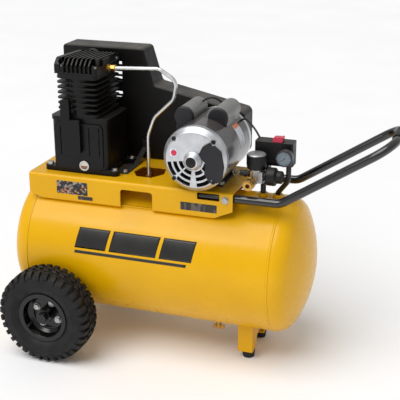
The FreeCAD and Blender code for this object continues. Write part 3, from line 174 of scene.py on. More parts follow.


# Warm grey laid on top faces: real dust on most finishes, and on the belt guard a painted sheen, the lighter grey
# that light gives its top.
DUST_AND_SHEEN = rgb(190, 182, 170)
RUBBER_DUST = rgb(140, 132, 120)
SOIL = rgb(120, 108, 90)
PAINT_EDGE = 1.2 * MM
METAL_EDGE = 0.8 * MM
RUBBER_EDGE = 1.5 * MM
DEEP = 0.6 * MM
MIDDLING = 0.4 * MM
SHALLOW = 0.2 * MM


def painted(name, colour, shade, rough, orange_peel, wear=None, dust_and_sheen=0.12, coat=0.0, grain=140.0,
            specular=0.5):
    """Paint or plastic: colour drift, dust and painted sheen on top faces, worn edges, uneven gloss and fine
    texture.

    shade is the colour it drifts to, rough its range of roughness, and wear the colour and strength of
    its worn edges.
    """
    made = Finish(name)
    drift = made.patches(5.0, 5.0, 0.35, 0.7)
    speck = made.patches(60.0, 3.0, 0.4, 0.75)
    body = made.over(colour, shade, drift, 0.8)
    body = made.over(body, shade, speck, 0.18)
    # Warm grey on top faces: dust, and where it is strong a painted sheen standing in for light on the top.
    top_face_patches = made.math("MULTIPLY", made.facing_up(), made.patches(18.0, 6.0, 0.1, 0.9))
    body = made.over(body, DUST_AND_SHEEN, top_face_patches, dust_and_sheen)
    rim = made.edges(PAINT_EDGE)
    if wear:
        chips = made.math("MULTIPLY", rim, made.patches(90.0, 6.0, 0.45, 0.62))
        body = made.over(body, wear[0], chips, wear[1])
    made.set(Base_Color=body, Coat_Weight=coat, Coat_Roughness=0.12, Specular_IOR_Level=specular)
    made.set(Roughness=made.patches(22.0, 6.0, 0.3, 0.75, *rough))
    made.bump([(made.noise(grain, 3.0), orange_peel, DEEP),
               (made.noise(900.0, 2.0), orange_peel * 0.5, SHALLOW)])
    return made.material


def metal(name, colour, shade, rough, cast, grain=300.0, stain=None):
    """Bare or plated metal: cloudy tone, fine scratches or cast skin, a painted highlight on every edge and
    crease, and stains.

    cast is how strong its skin is, and stain the colour and strength of its stains.
    """
    made = Finish(name)
    cloud = made.patches(28.0, 6.0, 0.3, 0.72)
    body = made.mix(cloud, colour, shade)
    if stain:
        body = made.over(body, stain[0], made.patches(55.0, 7.0, 0.55, 0.75), stain[1])
    rim = made.edges(METAL_EDGE)
    # Every edge and crease is made lighter: a painted highlight.
    edge_highlight = tuple(min(1.0, channel * 1.35) for channel in colour[:3]) + (1.0,)
    body = made.over(body, edge_highlight, rim, 0.5)
    made.set(Base_Color=body, Metallic=1.0)
    made.set(Roughness=made.patches(70.0, 6.0, 0.3, 0.75, *rough))
    made.bump([(made.noise(grain, 6.0), cast, MIDDLING)])
    return made.material


def rubber(name, colour, shade, rough, bump_strength=0.25):
    """Rubber: dusty bloom, matte patches and a fine pebbled skin."""
    made = Finish(name)
    bloom = made.patches(14.0, 6.0, 0.35, 0.75)
    body = made.mix(bloom, colour, shade)
    top_face_patches = made.math("MULTIPLY", made.facing_up(0.2), made.patches(40.0, 6.0, 0.4, 0.8))
    body = made.over(body, RUBBER_DUST, top_face_patches, 0.14)
    made.edges(RUBBER_EDGE)
    made.set(Base_Color=body, Specular_IOR_Level=0.4)
    made.set(Roughness=made.patches(35.0, 5.0, 0.3, 0.75, *rough))
    made.bump([(made.noise(420.0, 4.0), bump_strength, MIDDLING)])
    return made.material


BARE_STEEL = rgb(150, 148, 142)
MATERIALS = {
    "tank_paint": painted("tank_paint", rgb(228, 172, 2), rgb(218, 161, 2), (0.24, 0.38), 0.05,
                          wear=(rgb(120, 92, 40), 0.55), dust_and_sheen=0.02, coat=0.12, grain=160.0, specular=0.22),
    "tyre_rubber": rubber("tyre_rubber", rgb(17, 16, 18), rgb(26, 25, 25), (0.55, 0.8)),
    "rim_paint": painted("rim_paint", rgb(7, 7, 8), rgb(12, 12, 13), (0.14, 0.3), 0.04,
                         wear=(rgb(70, 70, 70), 0.4), dust_and_sheen=0.03, coat=0.35, specular=0.3),
    "zinc": metal("zinc", rgb(205, 205, 202), rgb(160, 162, 160), (0.22, 0.42), 0.10,
                  stain=(rgb(150, 128, 84), 0.35)),
    "foot_rubber": rubber("foot_rubber", rgb(28, 28, 29), rgb(44, 43, 42), (0.55, 0.8)),
    "steel": metal("steel", rgb(176, 176, 174), rgb(120, 120, 120), (0.25, 0.45), 0.12),
    "handle_paint": painted("handle_paint", rgb(12, 12, 13), rgb(20, 20, 21), (0.14, 0.30), 0.08,
                            wear=(BARE_STEEL, 0.5), dust_and_sheen=0.08, coat=0.7),
    "grip_rubber": rubber("grip_rubber", rgb(26, 26, 27), rgb(46, 46, 46), (0.5, 0.75), 0.4),
    "pump_paint": painted("pump_paint", rgb(10, 8, 8), rgb(17, 15, 15), (0.30, 0.48), 0.35,
                          wear=(rgb(88, 84, 78), 0.5), dust_and_sheen=0.08, coat=0.05, grain=260.0, specular=0.24),
    "black_plastic": painted("black_plastic", rgb(16, 15, 15), rgb(24, 23, 23), (0.38, 0.55), 0.22,
                             wear=(rgb(80, 78, 76), 0.3), dust_and_sheen=0.08, coat=0.0, grain=520.0, specular=0.35),
    "cast_iron": metal("cast_iron", rgb(92, 92, 92), rgb(62, 60, 58), (0.45, 0.7), 0.5,
                       stain=(rgb(110, 66, 40), 0.4)),
    "bell_aluminium": metal("bell_aluminium", rgb(218, 220, 222), rgb(190, 192, 196), (0.34, 0.5), 0.3,
                            grain=420.0),
    "belt_rubber": rubber("belt_rubber", rgb(26, 26, 27), rgb(46, 44, 42), (0.55, 0.8)),
    # The strong top-face grey here is mostly a painted sheen, the lighter grey top that light gives the black
    # guard, with a little dust.
    "guard_plastic": painted("guard_plastic", rgb(12, 10, 9), rgb(19, 17, 16), (0.36, 0.55), 0.25,
                             wear=(rgb(80, 80, 78), 0.25), dust_and_sheen=0.26, coat=0.0, grain=380.0, specular=0.26),
    "pipe_black": painted("pipe_black", rgb(22, 22, 23), rgb(34, 33, 32), (0.3, 0.55), 0.3,
                          wear=(BARE_STEEL, 0.5), dust_and_sheen=0.12),
    "shell_paint": painted("shell_paint", rgb(70, 66, 67), rgb(52, 48, 49), (0.22, 0.38), 0.1,
                           wear=(BARE_STEEL, 0.4), dust_and_sheen=0.06, coat=0.5),
    "laminations": metal("laminations", rgb(120, 118, 116), rgb(84, 80, 78), (0.4, 0.6), 0.3),
    "cap_grey": painted("cap_grey", rgb(122, 122, 118), rgb(104, 104, 101), (0.34, 0.5), 0.16,
                        wear=(rgb(60, 60, 60), 0.3), dust_and_sheen=0.10, coat=0.1),
    "cable_rubber": rubber("cable_rubber", rgb(28, 28, 29), rgb(42, 42, 42), (0.4, 0.6), 0.15),
    "tube_aluminium": metal("tube_aluminium", rgb(226, 227, 226), rgb(196, 198, 198), (0.24, 0.4), 0.12,
                            grain=500.0),
    "brass": metal("brass", rgb(214, 172, 96), rgb(176, 134, 68), (0.24, 0.42), 0.15,
                   stain=(rgb(112, 80, 44), 0.35)),
    "knob_red": painted("knob_red", rgb(214, 30, 74), rgb(184, 20, 58), (0.28, 0.42), 0.08,
                        wear=(rgb(230, 120, 130), 0.3), dust_and_sheen=0.06, coat=0.25),
    "regulator_zinc": metal("regulator_zinc", rgb(196, 198, 200), rgb(160, 162, 164), (0.35, 0.55), 0.3),
    "gauge_black": painted("gauge_black", rgb(20, 20, 21), rgb(30, 30, 31), (0.3, 0.45), 0.15,
                           wear=(rgb(90, 90, 92), 0.3), dust_and_sheen=0.08),
    "needle_paint": painted("needle_paint", rgb(190, 30, 34), rgb(160, 24, 28), (0.35, 0.5), 0.05),
}


def glassy(name, painted_reflection, alpha):
    """A clear moulded lens: a bluish grey painted reflection in its colour, a few fine scratches and a hard gloss.
    """
    made = Finish(name)
    haze = made.patches(160.0, 5.0, 0.35, 0.75)
    deeper = tuple(channel * 0.8 for channel in painted_reflection[:3]) + (1.0,)
    made.set(Base_Color=made.mix(haze, painted_reflection, deeper), Alpha=alpha, Coat_Weight=0.6)
    made.set(Roughness=made.patches(300.0, 6.0, 0.4, 0.75, 0.03, 0.16))
    made.bump([(made.noise(700.0, 2.0), 0.03, SHALLOW)])
    return made.material


def film(made, ink, soil, strength):
    """Finishes a printed film: slight soiling, uneven gloss and a faint grain."""
    body = made.over(ink, soil, made.patches(70.0, 6.0, 0.5, 0.8), strength)
    made.set(Base_Color=body, Roughness=made.patches(50.0, 4.0, 0.3, 0.7, 0.3, 0.5))
    made.bump([(made.noise(500.0, 2.0), 0.05, SHALLOW)])
    return made.material


def printed(name, ground, ink, rows, columns, cover):
    """Plain bars of ink in rows, broken into blocks; cover is the share of each row that is inked."""
    made = Finish(name)
    lines = made.span(made.wave(rows, "Z"), 0.56, 0.62)
    gaps = 1.0 - cover
    blocks = made.span(made.noise(columns, 1.0, stretch=(1.0, 1.0, 0.12)), gaps, gaps + 0.02)
    return film(made, made.over(ground, ink, lines, blocks), SOIL, 0.12)


def colour_blocks(name):
    """A dark film with small plain blocks of pale, orange and blue."""
    made = Finish(name)
    cells = made.node("ShaderNodeTexVoronoi", Vector=made.coords, Scale=210.0)
    cells.distance = "CHEBYCHEV"
    pick = made.node("ShaderNodeSeparateXYZ", Vector=cells.outputs["Color"])
    body = made.mix(made.span(pick.outputs["X"], 0.74, 0.76), rgb(34, 28, 26), rgb(150, 142, 130))
    body = made.mix(made.span(pick.outputs["Y"], 0.84, 0.86), body, rgb(176, 96, 36))
    body = made.mix(made.span(pick.outputs["Z"], 0.92, 0.94), body, rgb(62, 84, 120))
    return film(made, body, rgb(100, 90, 76), 0.15)


def oil_glass(name, level):
    """A sight glass part full of amber oil, darker below its level."""
    made = Finish(name)
    parts = made.node("ShaderNodeSeparateXYZ", Vector=made.coords)
    wobble = made.math("MULTIPLY", made.noise(200.0, 3.0), 0.8 * MM)
    height = made.math("ADD", parts.outputs["Z"], wobble)
    above = made.span(height, level - 0.6 * MM, level + 0.6 * MM)
    body = made.mix(above, rgb(120, 66, 20), rgb(206, 200, 186))
    made.set(Base_Color=body, Coat_Weight=0.8, Coat_Roughness=0.03)
    made.set(Roughness=made.patches(300.0, 4.0, 0.4, 0.7, 0.06, 0.16))
    made.bump([(made.noise(600.0, 2.0), 0.03, SHALLOW)])
    return made.material


OIL_LEVEL = 14 * MM
MATERIALS.update({
    "cap_black": painted("cap_black", rgb(18, 17, 22), rgb(26, 25, 32), (0.42, 0.6), 0.2,
                         wear=(rgb(90, 90, 92), 0.2)),
    # The lens's bluish grey colour is a painted reflection of the surroundings in the glass.
    "lens": glassy("lens", rgb(112, 130, 144), 0.46),
    "sight_glass": oil_glass("sight_glass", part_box("oil_fittings")[0].z + OIL_LEVEL),
    "decal_black": painted("decal_black", rgb(24, 23, 22), rgb(36, 34, 32), (0.24, 0.4), 0.04,
                           wear=(rgb(120, 96, 40), 0.2), dust_and_sheen=0.05, coat=0.3),
    "label_white": printed("label_white", rgb(226, 228, 230), rgb(150, 166, 190), 260.0, 140.0, 0.62),
    "label_orange": printed("label_orange", rgb(212, 112, 60), rgb(236, 206, 180), 320.0, 120.0, 0.5),
    "label_dark": printed("label_dark", rgb(44, 38, 34), rgb(128, 120, 108), 300.0, 160.0, 0.46),
    "label_colour": colour_blocks("label_colour"),
    "dial_white": painted("dial_white", rgb(232, 232, 228), rgb(214, 214, 208), (0.4, 0.55), 0.04,
                          dust_and_sheen=0.03),
})

for node_name, node in NODES.items():
    node.data.materials.clear()
    node.data.materials.append(MATERIALS[SLOT_OF[node_name]])


# ---------------------------------------------------------------- where things are
def middle(node):
    """The centre of a node's box."""
    low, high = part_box(node)
    return (low + high) / 2


TANK_LOW, TANK_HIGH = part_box("tank_barrel")
TANK_R = (TANK_HIGH.y - TANK_LOW.y) / 2
TANK_MID = middle("tank_heads")
MOTOR_LOW, MOTOR_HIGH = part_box("motor_shell")
MOTOR_R = (MOTOR_HIGH.x - MOTOR_LOW.x) / 2
MOTOR_MID = middle("motor_shell")
BELL_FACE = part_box("motor_end_bells")[0].y
SKIRT_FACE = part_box("saddle")[0].y
NEEDLE_JOINT = next(joint for joint in frame["joints"] if joint["name"] == "gauge_needle_swing")
GAUGE_MID = Vector(NEEDLE_JOINT["pos_m"])
GAUGE_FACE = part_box("tank_gauge")[0].y
SIGHT_LOW, SIGHT_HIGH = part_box("oil_fittings")
SIGHT_R = 13.5 * MM


def repaint(node, material, inside):
    """Gives another finish to the faces of a node whose centres pass a test."""
    mesh = NODES[node].data
    mesh.materials.append(material)
    for face in mesh.polygons:
        if inside(face.center):
            face.material_index = len(mesh.materials) - 1


def off_axis(point, centre):
    """Distance from an axis along Y."""
    return math.hypot(point.x - centre.x, point.z - centre.z)


CAP_FRONT = 8.2 * MM
SCREW_HEAD = 2.0 * MM
SHAFT_CAP_R = 12.6 * MM
# How far down from its top the knob's painted highlight rim reaches.
KNOB_CROWN = 3.6 * MM
LENS_DEPTH = 2.6 * MM
LENS_R = 18.2 * MM
BEZEL_R = 17.9 * MM
HUB_TUBE_R = (13.4 * MM, 21.0 * MM)
GLASS_DEPTH = 3.4 * MM
GLASS_R = 9.3 * MM


def paint_details():
    """Finishes of the solids that share a node with others."""
    cap_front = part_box("capacitor_covers")[0].y + CAP_FRONT
    repaint("capacitor_covers", MATERIALS["cap_black"], lambda c: c.y < cap_front)
    cap = middle("shaft_cap")
    repaint("shaft_cap", MATERIALS["black_plastic"], lambda c: off_axis(c, cap) < SHAFT_CAP_R)
    wheel_y = abs(middle("tyre_front").y)
    repaint("axle_bolts", MATERIALS["rim_paint"], lambda c: abs(c.y) > wheel_y)
    repaint("cap_screws", MATERIALS["black_plastic"], lambda c: c.y < BELL_FACE + SCREW_HEAD)
    repaint("terminal_cover", MATERIALS["cap_black"], lambda c: True)
    # The top rim of the black knob is given zinc: a painted highlight for the light line round its top.
    knob_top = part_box("regulator_knob")[1].z
    repaint("regulator_knob", MATERIALS["regulator_zinc"], lambda c: c.z > knob_top - KNOB_CROWN)
    gauge_y = middle("tank_gauge").y
    lens_y = GAUGE_FACE + LENS_DEPTH
    repaint("tank_gauge", MATERIALS["lens"], lambda c: c.y < lens_y and off_axis(c, GAUGE_MID) < LENS_R)
    repaint("tank_gauge", MATERIALS["gauge_black"],
            lambda c: c.y < min(lens_y, gauge_y) and off_axis(c, GAUGE_MID) > BEZEL_R)
    for side in ("front", "back"):
        hub = middle("hub_" + side)
        repaint("hub_" + side, MATERIALS["rim_paint"],
                lambda c, hub=hub: HUB_TUBE_R[0] < off_axis(c, hub) < HUB_TUBE_R[1])
    glass = Vector((SIGHT_HIGH.x - SIGHT_R, 0.0, SIGHT_LOW.z + SIGHT_R))
    repaint("oil_fittings", MATERIALS["sight_glass"],
            lambda c: c.y < SIGHT_LOW.y + GLASS_DEPTH and off_axis(c, glass) < GLASS_R)


# ---------------------------------------------------------------- shape helpers
def add_object(name, data):
    """Puts an object for some data into the scene."""
    made = bpy.data.objects.new(name, data)
    bpy.context.scene.collection.objects.link(made)
    return made


def finish_piece(name, bm, finish, body, smooth=True):
    """Turns a bmesh into a piece of the object: its finish and the body it rides on."""
    bmesh.ops.recalc_face_normals(bm, faces=bm.faces)
    mesh = bpy.data.meshes.new(name)
    bm.to_mesh(mesh)
    bm.free()
    mesh.materials.append(MATERIALS[finish])
    mesh.polygons.foreach_set("use_smooth", [smooth] * len(mesh.polygons))
    piece = add_object(name, mesh)
    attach(piece, body)
    return piece


def strip(bm, here, there):
    """A closed band of faces between two matching rings of vertices."""
    for k in range(len(here)):
        j = (k + 1) % len(here)
        bm.faces.new((here[k], here[j], there[j], there[k]))


def prism(bm, front, back):
    """A closed solid between two matching outlines of vertices."""
    bm.faces.new(front)
    bm.faces.new(back[::-1])
    for k in range(len(front)):
        j = (k + 1) % len(front)
        bm.faces.new((front[k], back[k], back[j], front[j]))


def spun(bm, profile, centre, turns):
    """Adds a closed ring: (along Y, radius) points swept round an axis along Y through centre."""
    rings = []
    for step in range(turns):
        angle = 2 * math.pi * step / turns
        rings.append([bm.verts.new((centre.x + radius * math.cos(angle), centre.y + along,
                                    centre.z + radius * math.sin(angle)))
                      for along, radius in profile])
    for step in range(turns):
        strip(bm, rings[step], rings[(step + 1) % turns])


# ---------------------------------------------------------------- tyres
# Outlines are (across, radius) in millimetres from the wheel's middle plane and axis.
SIDEWALL = [(31, 69), (35, 73), (39.5, 80), (41.0, 86), (42.0, 88), (42.0, 90), (41.2, 92), (41.4, 99),
            (40.2, 107), (37, 113), (29, 118), (14, 120.5)]
TREAD_R = 121.2
SEAT = (30, 58.2)
CENTRE_KNOB = [(1.6, 119), (1.6, 127.2), (12.5, 126.9), (12.5, 119)]
LONG_KNOB = [(16, 118), (16, 126.7), (31, 125.2), (38.5, 120.5), (42.2, 112), (42.3, 107), (40, 106),
             (36, 111)]
SHORT_KNOB = [(16, 118), (16, 126.7), (31, 125.2), (38.5, 120.5), (41.4, 115), (38.5, 112), (34, 113)]
TYRE_TURNS = 144
KNOB_COUNT = 34
KNOB_PITCH = 2 * math.pi / KNOB_COUNT
KNOB_TOP_R = 116.0
KNOB_TAPER = 0.86
SHOULDER_SHARE = 0.30
CENTRE_SHARE = 0.33
SHOULDER_LEAN = 0.0012
CENTRE_LEAN = 0.006
SMOOTH_FACE = 9e-5
KNOB_BEVEL = 0.8 * MM
BEVEL_ANGLE = math.radians(40)
VALVE_ANGLE = math.radians(215)
VALVE_CIRCLE = 52 * MM
VALVE_SET_OUT = 10 * MM
VALVE_TURNS = 20
VALVE_STEM = [(0, 0.01), (0, 3.6), (9, 3.2), (12, 2.7), (12.4, 3.9), (23, 3.7), (24, 2.8), (24, 0.01)]


def add_knob(bm, outline, centre, side, middle_angle, half_angle, lean):
    """One tread block: its outline across the tyre, swept through a small angle, leaning outwards."""
    ends = []
    for end in (-1, 1):
        row = []
        for across, radius in outline:
            width = half_angle * (KNOB_TAPER if radius > KNOB_TOP_R else 1.0)
            angle = middle_angle + end * width + lean * across * side
            row.append(bm.verts.new((centre.x + radius * MM * math.cos(angle), centre.y + across * side * MM,
                                     centre.z + radius * MM * math.sin(angle))))
        ends.append(row)
    prism(bm, *ends)


def add_tread(bm, centre):
    """Two staggered rows of shoulder blocks, long and short by turns, and two rows of centre blocks."""
    for k in range(KNOB_COUNT):
        for face, offset in ((-1, 0.0), (1, 0.5)):
            angle = (k + offset) * KNOB_PITCH
            shoulder = LONG_KNOB if k % 2 else SHORT_KNOB
            add_knob(bm, shoulder, centre, face, angle, KNOB_PITCH * SHOULDER_SHARE, SHOULDER_LEAN)
            add_knob(bm, CENTRE_KNOB, centre, face, angle + KNOB_PITCH * 0.5, KNOB_PITCH * CENTRE_SHARE,
                     CENTRE_LEAN)


def make_tyre(side, sign):
    """A treaded tyre in place of the plain one, and its rubber valve stem."""
    node = "tyre_" + side
    body = "wheel_" + side
    centre = middle(node)
    half = [(across * MM, radius * MM) for across, radius in SIDEWALL]
    profile = half + [(0.0, TREAD_R * MM)] + [(-across, radius) for across, radius in reversed(half)]
    profile += [(-SEAT[0] * MM, SEAT[1] * MM), (SEAT[0] * MM, SEAT[1] * MM)]
    bm = bmesh.new()
    spun(bm, profile, centre, TYRE_TURNS)
    add_tread(bm, centre)
    tyre = finish_piece(node + "_treaded", bm, "tyre_rubber", body)
    wall_faces = TYRE_TURNS * len(profile)
    tyre.data.polygons.foreach_set("use_smooth", [face.index < wall_faces and face.area < SMOOTH_FACE
                                                  for face in tyre.data.polygons])
    bevel = tyre.modifiers.new("bevel", "BEVEL")
    bevel.width = KNOB_BEVEL
    bevel.segments = 2
    bevel.limit_method = "ANGLE"
    bevel.angle_limit = BEVEL_ANGLE
    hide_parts(node)
    foot = Vector((centre.x + VALVE_CIRCLE * math.cos(VALVE_ANGLE), centre.y + sign * VALVE_SET_OUT,
                   centre.z + VALVE_CIRCLE * math.sin(VALVE_ANGLE)))
    bm = bmesh.new()
    spun(bm, [(sign * along * MM, radius * MM) for along, radius in VALVE_STEM], foot, VALVE_TURNS)
    finish_piece("valve_stem_" + side, bm, "black_plastic", body, False)


# ---------------------------------------------------------------- welds, decals and labels
WELD_TURNS = 480
WELD_SIDES = 8
WELD_HALF_WIDTH = 3.2
WELD_RISE = 1.1


def weld_bead(name, x):
    """A rippled bead round the tank where a dished end meets the barrel."""
    bm = bmesh.new()
    rings = []
    for step in range(WELD_TURNS):
        angle = 2 * math.pi * step / WELD_TURNS
        wander = noise.noise((math.cos(angle) * 9, math.sin(angle) * 9, x * 3))
        ripple = 0.35 * math.sin(step * 1.9) + 0.5 * wander
        ring = []
        for k in range(WELD_SIDES):
            turn = 2 * math.pi * k / WELD_SIDES
            across = math.cos(turn) * (WELD_HALF_WIDTH + 0.4 * ripple) * MM
            out = TANK_R + math.sin(turn) * (WELD_RISE + 0.25 * ripple) * MM
            ring.append(bm.verts.new((x + across, TANK_MID.y + out * math.cos(angle),
                                      TANK_MID.z + out * math.sin(angle))))
        rings.append(ring)
    for step in range(WELD_TURNS):
        here, there = rings[step], rings[(step + 1) % WELD_TURNS]
        for k in range(WELD_SIDES):
            j = (k + 1) % WELD_SIDES
            bm.faces.new((here[k], there[k], there[j], here[j]))
    finish_piece(name, bm, "tank_paint", "frame")


FILM_FACES = (0.05 * MM, 0.3 * MM)
FILM_COLUMNS = 24
FILM_ROWS = 12


def wrapped(name, place, along, angles, slant, finish):
    """A thin film that follows a round wall: place maps (along, angle in degrees, height) to a point."""
    columns, rows = range(FILM_COLUMNS), range(FILM_ROWS)
    bm = bmesh.new()
    sheets = []
    for height in FILM_FACES:
        sheet = []
        for j in range(FILM_ROWS + 1):
            lift = j / FILM_ROWS
            angle = angles[0] + (angles[1] - angles[0]) * lift
            row = []
            for i in range(FILM_COLUMNS + 1):
                reach = along[0] + slant * lift + (along[1] - along[0]) * i / FILM_COLUMNS
                row.append(bm.verts.new(place(reach, angle, height)))
            sheet.append(row)
        sheets.append(sheet)
    for sheet in sheets:
        for j in rows:
            for i in columns:
                bm.faces.new((sheet[j][i], sheet[j][i + 1], sheet[j + 1][i + 1], sheet[j + 1][i]))
    border = ([(0, i) for i in columns] + [(j, FILM_COLUMNS) for j in rows]
              + [(FILM_ROWS, i) for i in range(FILM_COLUMNS, 0, -1)]
              + [(j, 0) for j in range(FILM_ROWS, 0, -1)])
    low, high = [[sheet[j][i] for j, i in border] for sheet in sheets]
    strip(bm, low, high)
    finish_piece(name, bm, finish, "frame")


def on_tank(x, angle, height):
    """A point on the tank's front, at an angle above its middle and a height off its skin."""
    turn = math.radians(angle)
    reach = TANK_R + height
    return (x, TANK_MID.y - reach * math.cos(turn), TANK_MID.z + reach * math.sin(turn))


def on_motor(y, angle, height):
    """A point on the motor's right side, at an angle above its middle and a height off its shell."""
    turn = math.radians(angle)
    reach = MOTOR_R + height
    return (MOTOR_MID.x + reach * math.cos(turn), y, MOTOR_MID.z + reach * math.sin(turn))


PANEL_SET_IN = 139 * MM
PANEL_LENGTH = 320 * MM
PANEL_SLANT = 9 * MM
PANEL_CUTS = ((0.0, 0.27), (0.30, 0.70), (0.73, 1.0))
PANEL_ANGLES = (14, 31.5)
RULE_ANGLES = (9.5, 12)
RULE_SHORTER = 14 * MM
MOTOR_LABEL_SET_BACK = 7 * MM
MOTOR_LABEL_LENGTH = 40 * MM
MOTOR_LABEL_ANGLES = (2, 37, 45)


def make_decals():
    """Plain slanted panels with a rule below them on the tank, and the label on the motor."""
    left = TANK_LOW.x + PANEL_SET_IN
    right = left + PANEL_LENGTH
    for k, cuts in enumerate(PANEL_CUTS, 1):
        span = [left + (right - left) * cut for cut in cuts]
        wrapped(f"tank_stripe_{k}", on_tank, span, PANEL_ANGLES, PANEL_SLANT, "decal_black")
    wrapped("tank_stripe_4", on_tank, (left, right - RULE_SHORTER), RULE_ANGLES, PANEL_SLANT * 0.2,
            "decal_black")
    near = MOTOR_MID.y + MOTOR_LABEL_SET_BACK
    span = (near, near + MOTOR_LABEL_LENGTH)
    wrapped("motor_label", on_motor, span, MOTOR_LABEL_ANGLES[:2], 0.0, "label_white")
    wrapped("motor_label_top", on_motor, span, MOTOR_LABEL_ANGLES[1:], 0.0, "label_orange")


LABEL_FACES = (0.35 * MM, 0.02 * MM)
LABEL_CORNER_R = 1.5 * MM
CORNER_STEPS = 5
CORNER_TURN = 22.5


def flat_label(name, x, z, finish):
    """A thin rounded label on the saddle's front skirt; x and z are millimetres from the tank's middle
    and from the floor."""
    left, right = (TANK_MID.x + limit * MM for limit in x)
    low, high = (limit * MM for limit in z)
    bm = bmesh.new()
    radius = LABEL_CORNER_R
    outline = []
    corners = ((right - radius, high - radius), (left + radius, high - radius),
               (left + radius, low + radius), (right - radius, low + radius))
    for quarter, (corner_x, corner_z) in enumerate(corners):
        for k in range(CORNER_STEPS):
            turn = math.radians(90 * quarter + CORNER_TURN * k)
            outline.append((corner_x + radius * math.cos(turn), corner_z + radius * math.sin(turn)))
    front, back = [[bm.verts.new((u, SKIRT_FACE - depth, v)) for u, v in outline] for depth in LABEL_FACES]
    prism(bm, front, back)
    finish_piece(name, bm, finish, "frame", False)


def make_labels():
    """Three generic labels on the saddle's skirt."""
    flat_label("rating_label", (84, 180), (416, 437), "label_dark")
    flat_label("care_label", (-260, -172), (421, 456), "label_colour")
    flat_label("care_label_strip", (-200, -158), (409, 419), "label_dark")


# ---------------------------------------------------------------- motor and gauge
CARD = 0.3 * MM
DISC_TURNS = 48
STICKER_OFFSET = (-50 * MM, 15 * MM)


def disc(name, centre, radius, finish):
    """A thin round card that faces -Y, with a softened rim."""
    bm = bmesh.new()
    rim = CARD * 0.4
    hole = radius * 0.001
    spun(bm, [(0.0, hole), (0.0, radius - rim), (rim, radius), (CARD, radius), (CARD, hole)],
         Vector(centre), DISC_TURNS)
    finish_piece(name, bm, finish, "frame", False)


def make_motor_sticker():
    """A plain red dot on a round white sticker."""
    x, z = MOTOR_MID.x + STICKER_OFFSET[0], MOTOR_MID.z + STICKER_OFFSET[1]
    disc("bell_sticker", (x, BELL_FACE - CARD, z), 12 * MM, "label_white")
    disc("bell_sticker_dot", (x, BELL_FACE - 0.5 * MM, z), 7.4 * MM, "knob_red")


LEAD_R = 2.6 * MM
LEAD_SIDES = 14
LEAD_STEPS = 24
LEAD_ARCH = 22 * MM


def swept(bm, points, radius, sides):
    """Adds a round tube along a smooth run of points, closed at both ends."""
    rings = []
    for k, point in enumerate(points):
        ahead = (points[min(k + 1, len(points) - 1)] - points[max(k - 1, 0)]).normalized()
        aside = ahead.cross(Vector((0.0, 1.0, 0.0))).normalized()
        up = aside.cross(ahead)
        turns = [2 * math.pi * step / sides for step in range(sides)]
        rings.append([bm.verts.new(point + (aside * math.cos(turn) + up * math.sin(turn)) * radius)
                      for turn in turns])
    for here, there in zip(rings, rings[1:]):
        strip(bm, here, there)
    bm.faces.new(rings[0][::-1])
    bm.faces.new(rings[-1])


def make_capacitor_lead():
    """The lead that arches from one capacitor cover to the other behind their crests."""
    low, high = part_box("capacitor_covers")
    start = Vector((low.x + 30 * MM, high.y - 34 * MM, high.z - 24 * MM))
    end = Vector((high.x - 40 * MM, high.y - 16 * MM, high.z - 22 * MM))
    points = []
    for k in range(LEAD_STEPS + 1):
        share = k / LEAD_STEPS
        arch = LEAD_ARCH * math.sin(math.pi * share)
        points.append(start.lerp(end, share) + Vector((0.0, 0.0, arch)))
    bm = bmesh.new()
    swept(bm, points, LEAD_R, LEAD_SIDES)
    finish_piece("capacitor_lead", bm, "cable_rubber", "frame")


DIAL_DEPTH = 5.6 * MM
DIAL_R = 16.2 * MM
TICK_COUNT = 31
TICK_START = 225
TICK_STEP = 9
TICK_OUTER = 15 * MM
TICK_LIFT = Vector((0, -0.25 * MM, 0))
LONG_TICK = (11.2 * MM, 0.45 * MM)
SHORT_TICK = (12.8 * MM, 0.22 * MM)


def make_dial():
    """The gauge's printed face: a white card with a ring of ticks, every fifth one longer."""
    centre = Vector((GAUGE_MID.x, GAUGE_FACE + DIAL_DEPTH, GAUGE_MID.z))
    disc("gauge_dial", centre, DIAL_R, "dial_white")
    face = centre + TICK_LIFT
    bm = bmesh.new()
    for k in range(TICK_COUNT):
        turn = math.radians(TICK_START - TICK_STEP * k)
        inner, half_width = SHORT_TICK if k % 5 else LONG_TICK
        out = Vector((math.cos(turn), 0, math.sin(turn)))
        aside = Vector((-out.z, 0, out.x)) * half_width
        corners = [face + out * inner - aside, face + out * inner + aside,
                   face + out * TICK_OUTER + aside, face + out * TICK_OUTER - aside]
        top = [bm.verts.new(corner) for corner in corners]
        back = [bm.verts.new(corner + Vector((0, CARD, 0))) for corner in corners]
        prism(bm, top, back)
    finish_piece("gauge_ticks", bm, "decal_black", "frame", False)


# ---------------------------------------------------------------- floor, light and camera
FLOOR_HALF = 30.0
WORLD_STRENGTH = 0.50
SKY_STRENGTH = 1.95
SKY_SPREAD = math.radians(50)
SKY_AIM = Vector((0.25, 0.42, -1.0))
KEY_PLACE = Vector((-1.2, -2.0, 2.4))
KEY_AIM = Vector((0.0, 0.0, 0.4))
KEY_SIZE = (1.2, 0.8)
KEY_POWER = 9.0


def make_floor():
    """A plain pale floor, very slightly uneven in tone and gloss."""
    made = Finish("floor_pale")
    made.set(Base_Color=made.mix(made.patches(0.8, 3.0, 0.3, 0.7), rgb(250, 250, 250), rgb(246, 246, 247)))
    made.set(Roughness=made.patches(3.0, 4.0, 0.3, 0.7, 0.6, 0.8))
    corners = [(x * FLOOR_HALF, y * FLOOR_HALF, 0) for x, y in ((-1, -1), (1, -1), (1, 1), (-1, 1))]
    mesh = bpy.data.meshes.new("floor")
    mesh.from_pydata(corners, [], [(0, 1, 2, 3)])
    mesh.materials.append(made.material)
    add_object("floor", mesh)


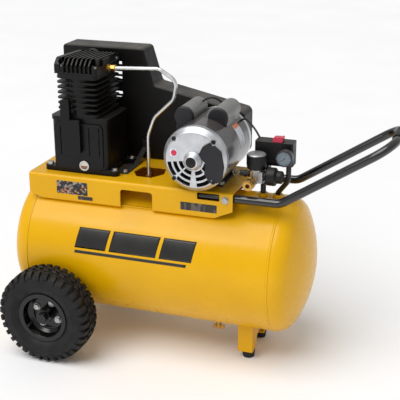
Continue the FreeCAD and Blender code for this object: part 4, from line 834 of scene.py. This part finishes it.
def aim(pointer, direction):
    """Turns a lamp or camera to look along a direction."""
    pointer.rotation_euler = direction.to_track_quat("-Z", "Y").to_euler()


def make_lights():
    """White surroundings, a broad soft sun for even daylight and a small key light from the front left."""
    world = bpy.data.worlds.new("studio")
    world.use_nodes = True
    background = world.node_tree.nodes["Background"]
    background.inputs["Color"].default_value = (1.0, 1.0, 1.0, 1.0)
    background.inputs["Strength"].default_value = WORLD_STRENGTH
    bpy.context.scene.world = world
    sun = bpy.data.lights.new("sky", "SUN")
    sun.energy = SKY_STRENGTH
    sun.angle = SKY_SPREAD
    aim(add_object("sky", sun), SKY_AIM)
    panel = bpy.data.lights.new("key", "AREA")
    panel.shape = "RECTANGLE"
    panel.size, panel.size_y = KEY_SIZE
    panel.energy = KEY_POWER
    key = add_object("key", panel)
    key.location = KEY_PLACE
    aim(key, KEY_AIM - KEY_PLACE)
    bpy.context.scene.view_settings.view_transform = "Standard"


CAMERA_AZIMUTH = math.radians(18.84)
CAMERA_ELEVATION = math.radians(20.1)
CAMERA_DISTANCE = 2.4479
CAMERA_TARGET = Vector((-0.0053, 0.0, 0.4024))
CAMERA_FOCAL = 2.33
SENSOR_WIDTH = 36.0
CLIP_END = 100.0


def make_camera():
    """The camera that matches the reference view."""
    data = bpy.data.cameras.new("camera")
    data.sensor_width = SENSOR_WIDTH
    data.lens = SENSOR_WIDTH * CAMERA_FOCAL
    data.clip_end = CLIP_END
    camera = add_object("camera", data)
    toward = Vector((math.sin(CAMERA_AZIMUTH) * math.cos(CAMERA_ELEVATION),
                     -math.cos(CAMERA_AZIMUTH) * math.cos(CAMERA_ELEVATION), math.sin(CAMERA_ELEVATION)))
    camera.location = CAMERA_TARGET + toward * CAMERA_DISTANCE
    aim(camera, -toward)
    bpy.context.scene.camera = camera


paint_details()
make_tyre("front", -1)
make_tyre("back", 1)
weld_bead("weld_bead_left", TANK_LOW.x)
weld_bead("weld_bead_right", TANK_HIGH.x)
make_decals()
make_labels()
make_motor_sticker()
make_capacitor_lead()
make_dial()
make_floor()
make_lights()
make_camera()
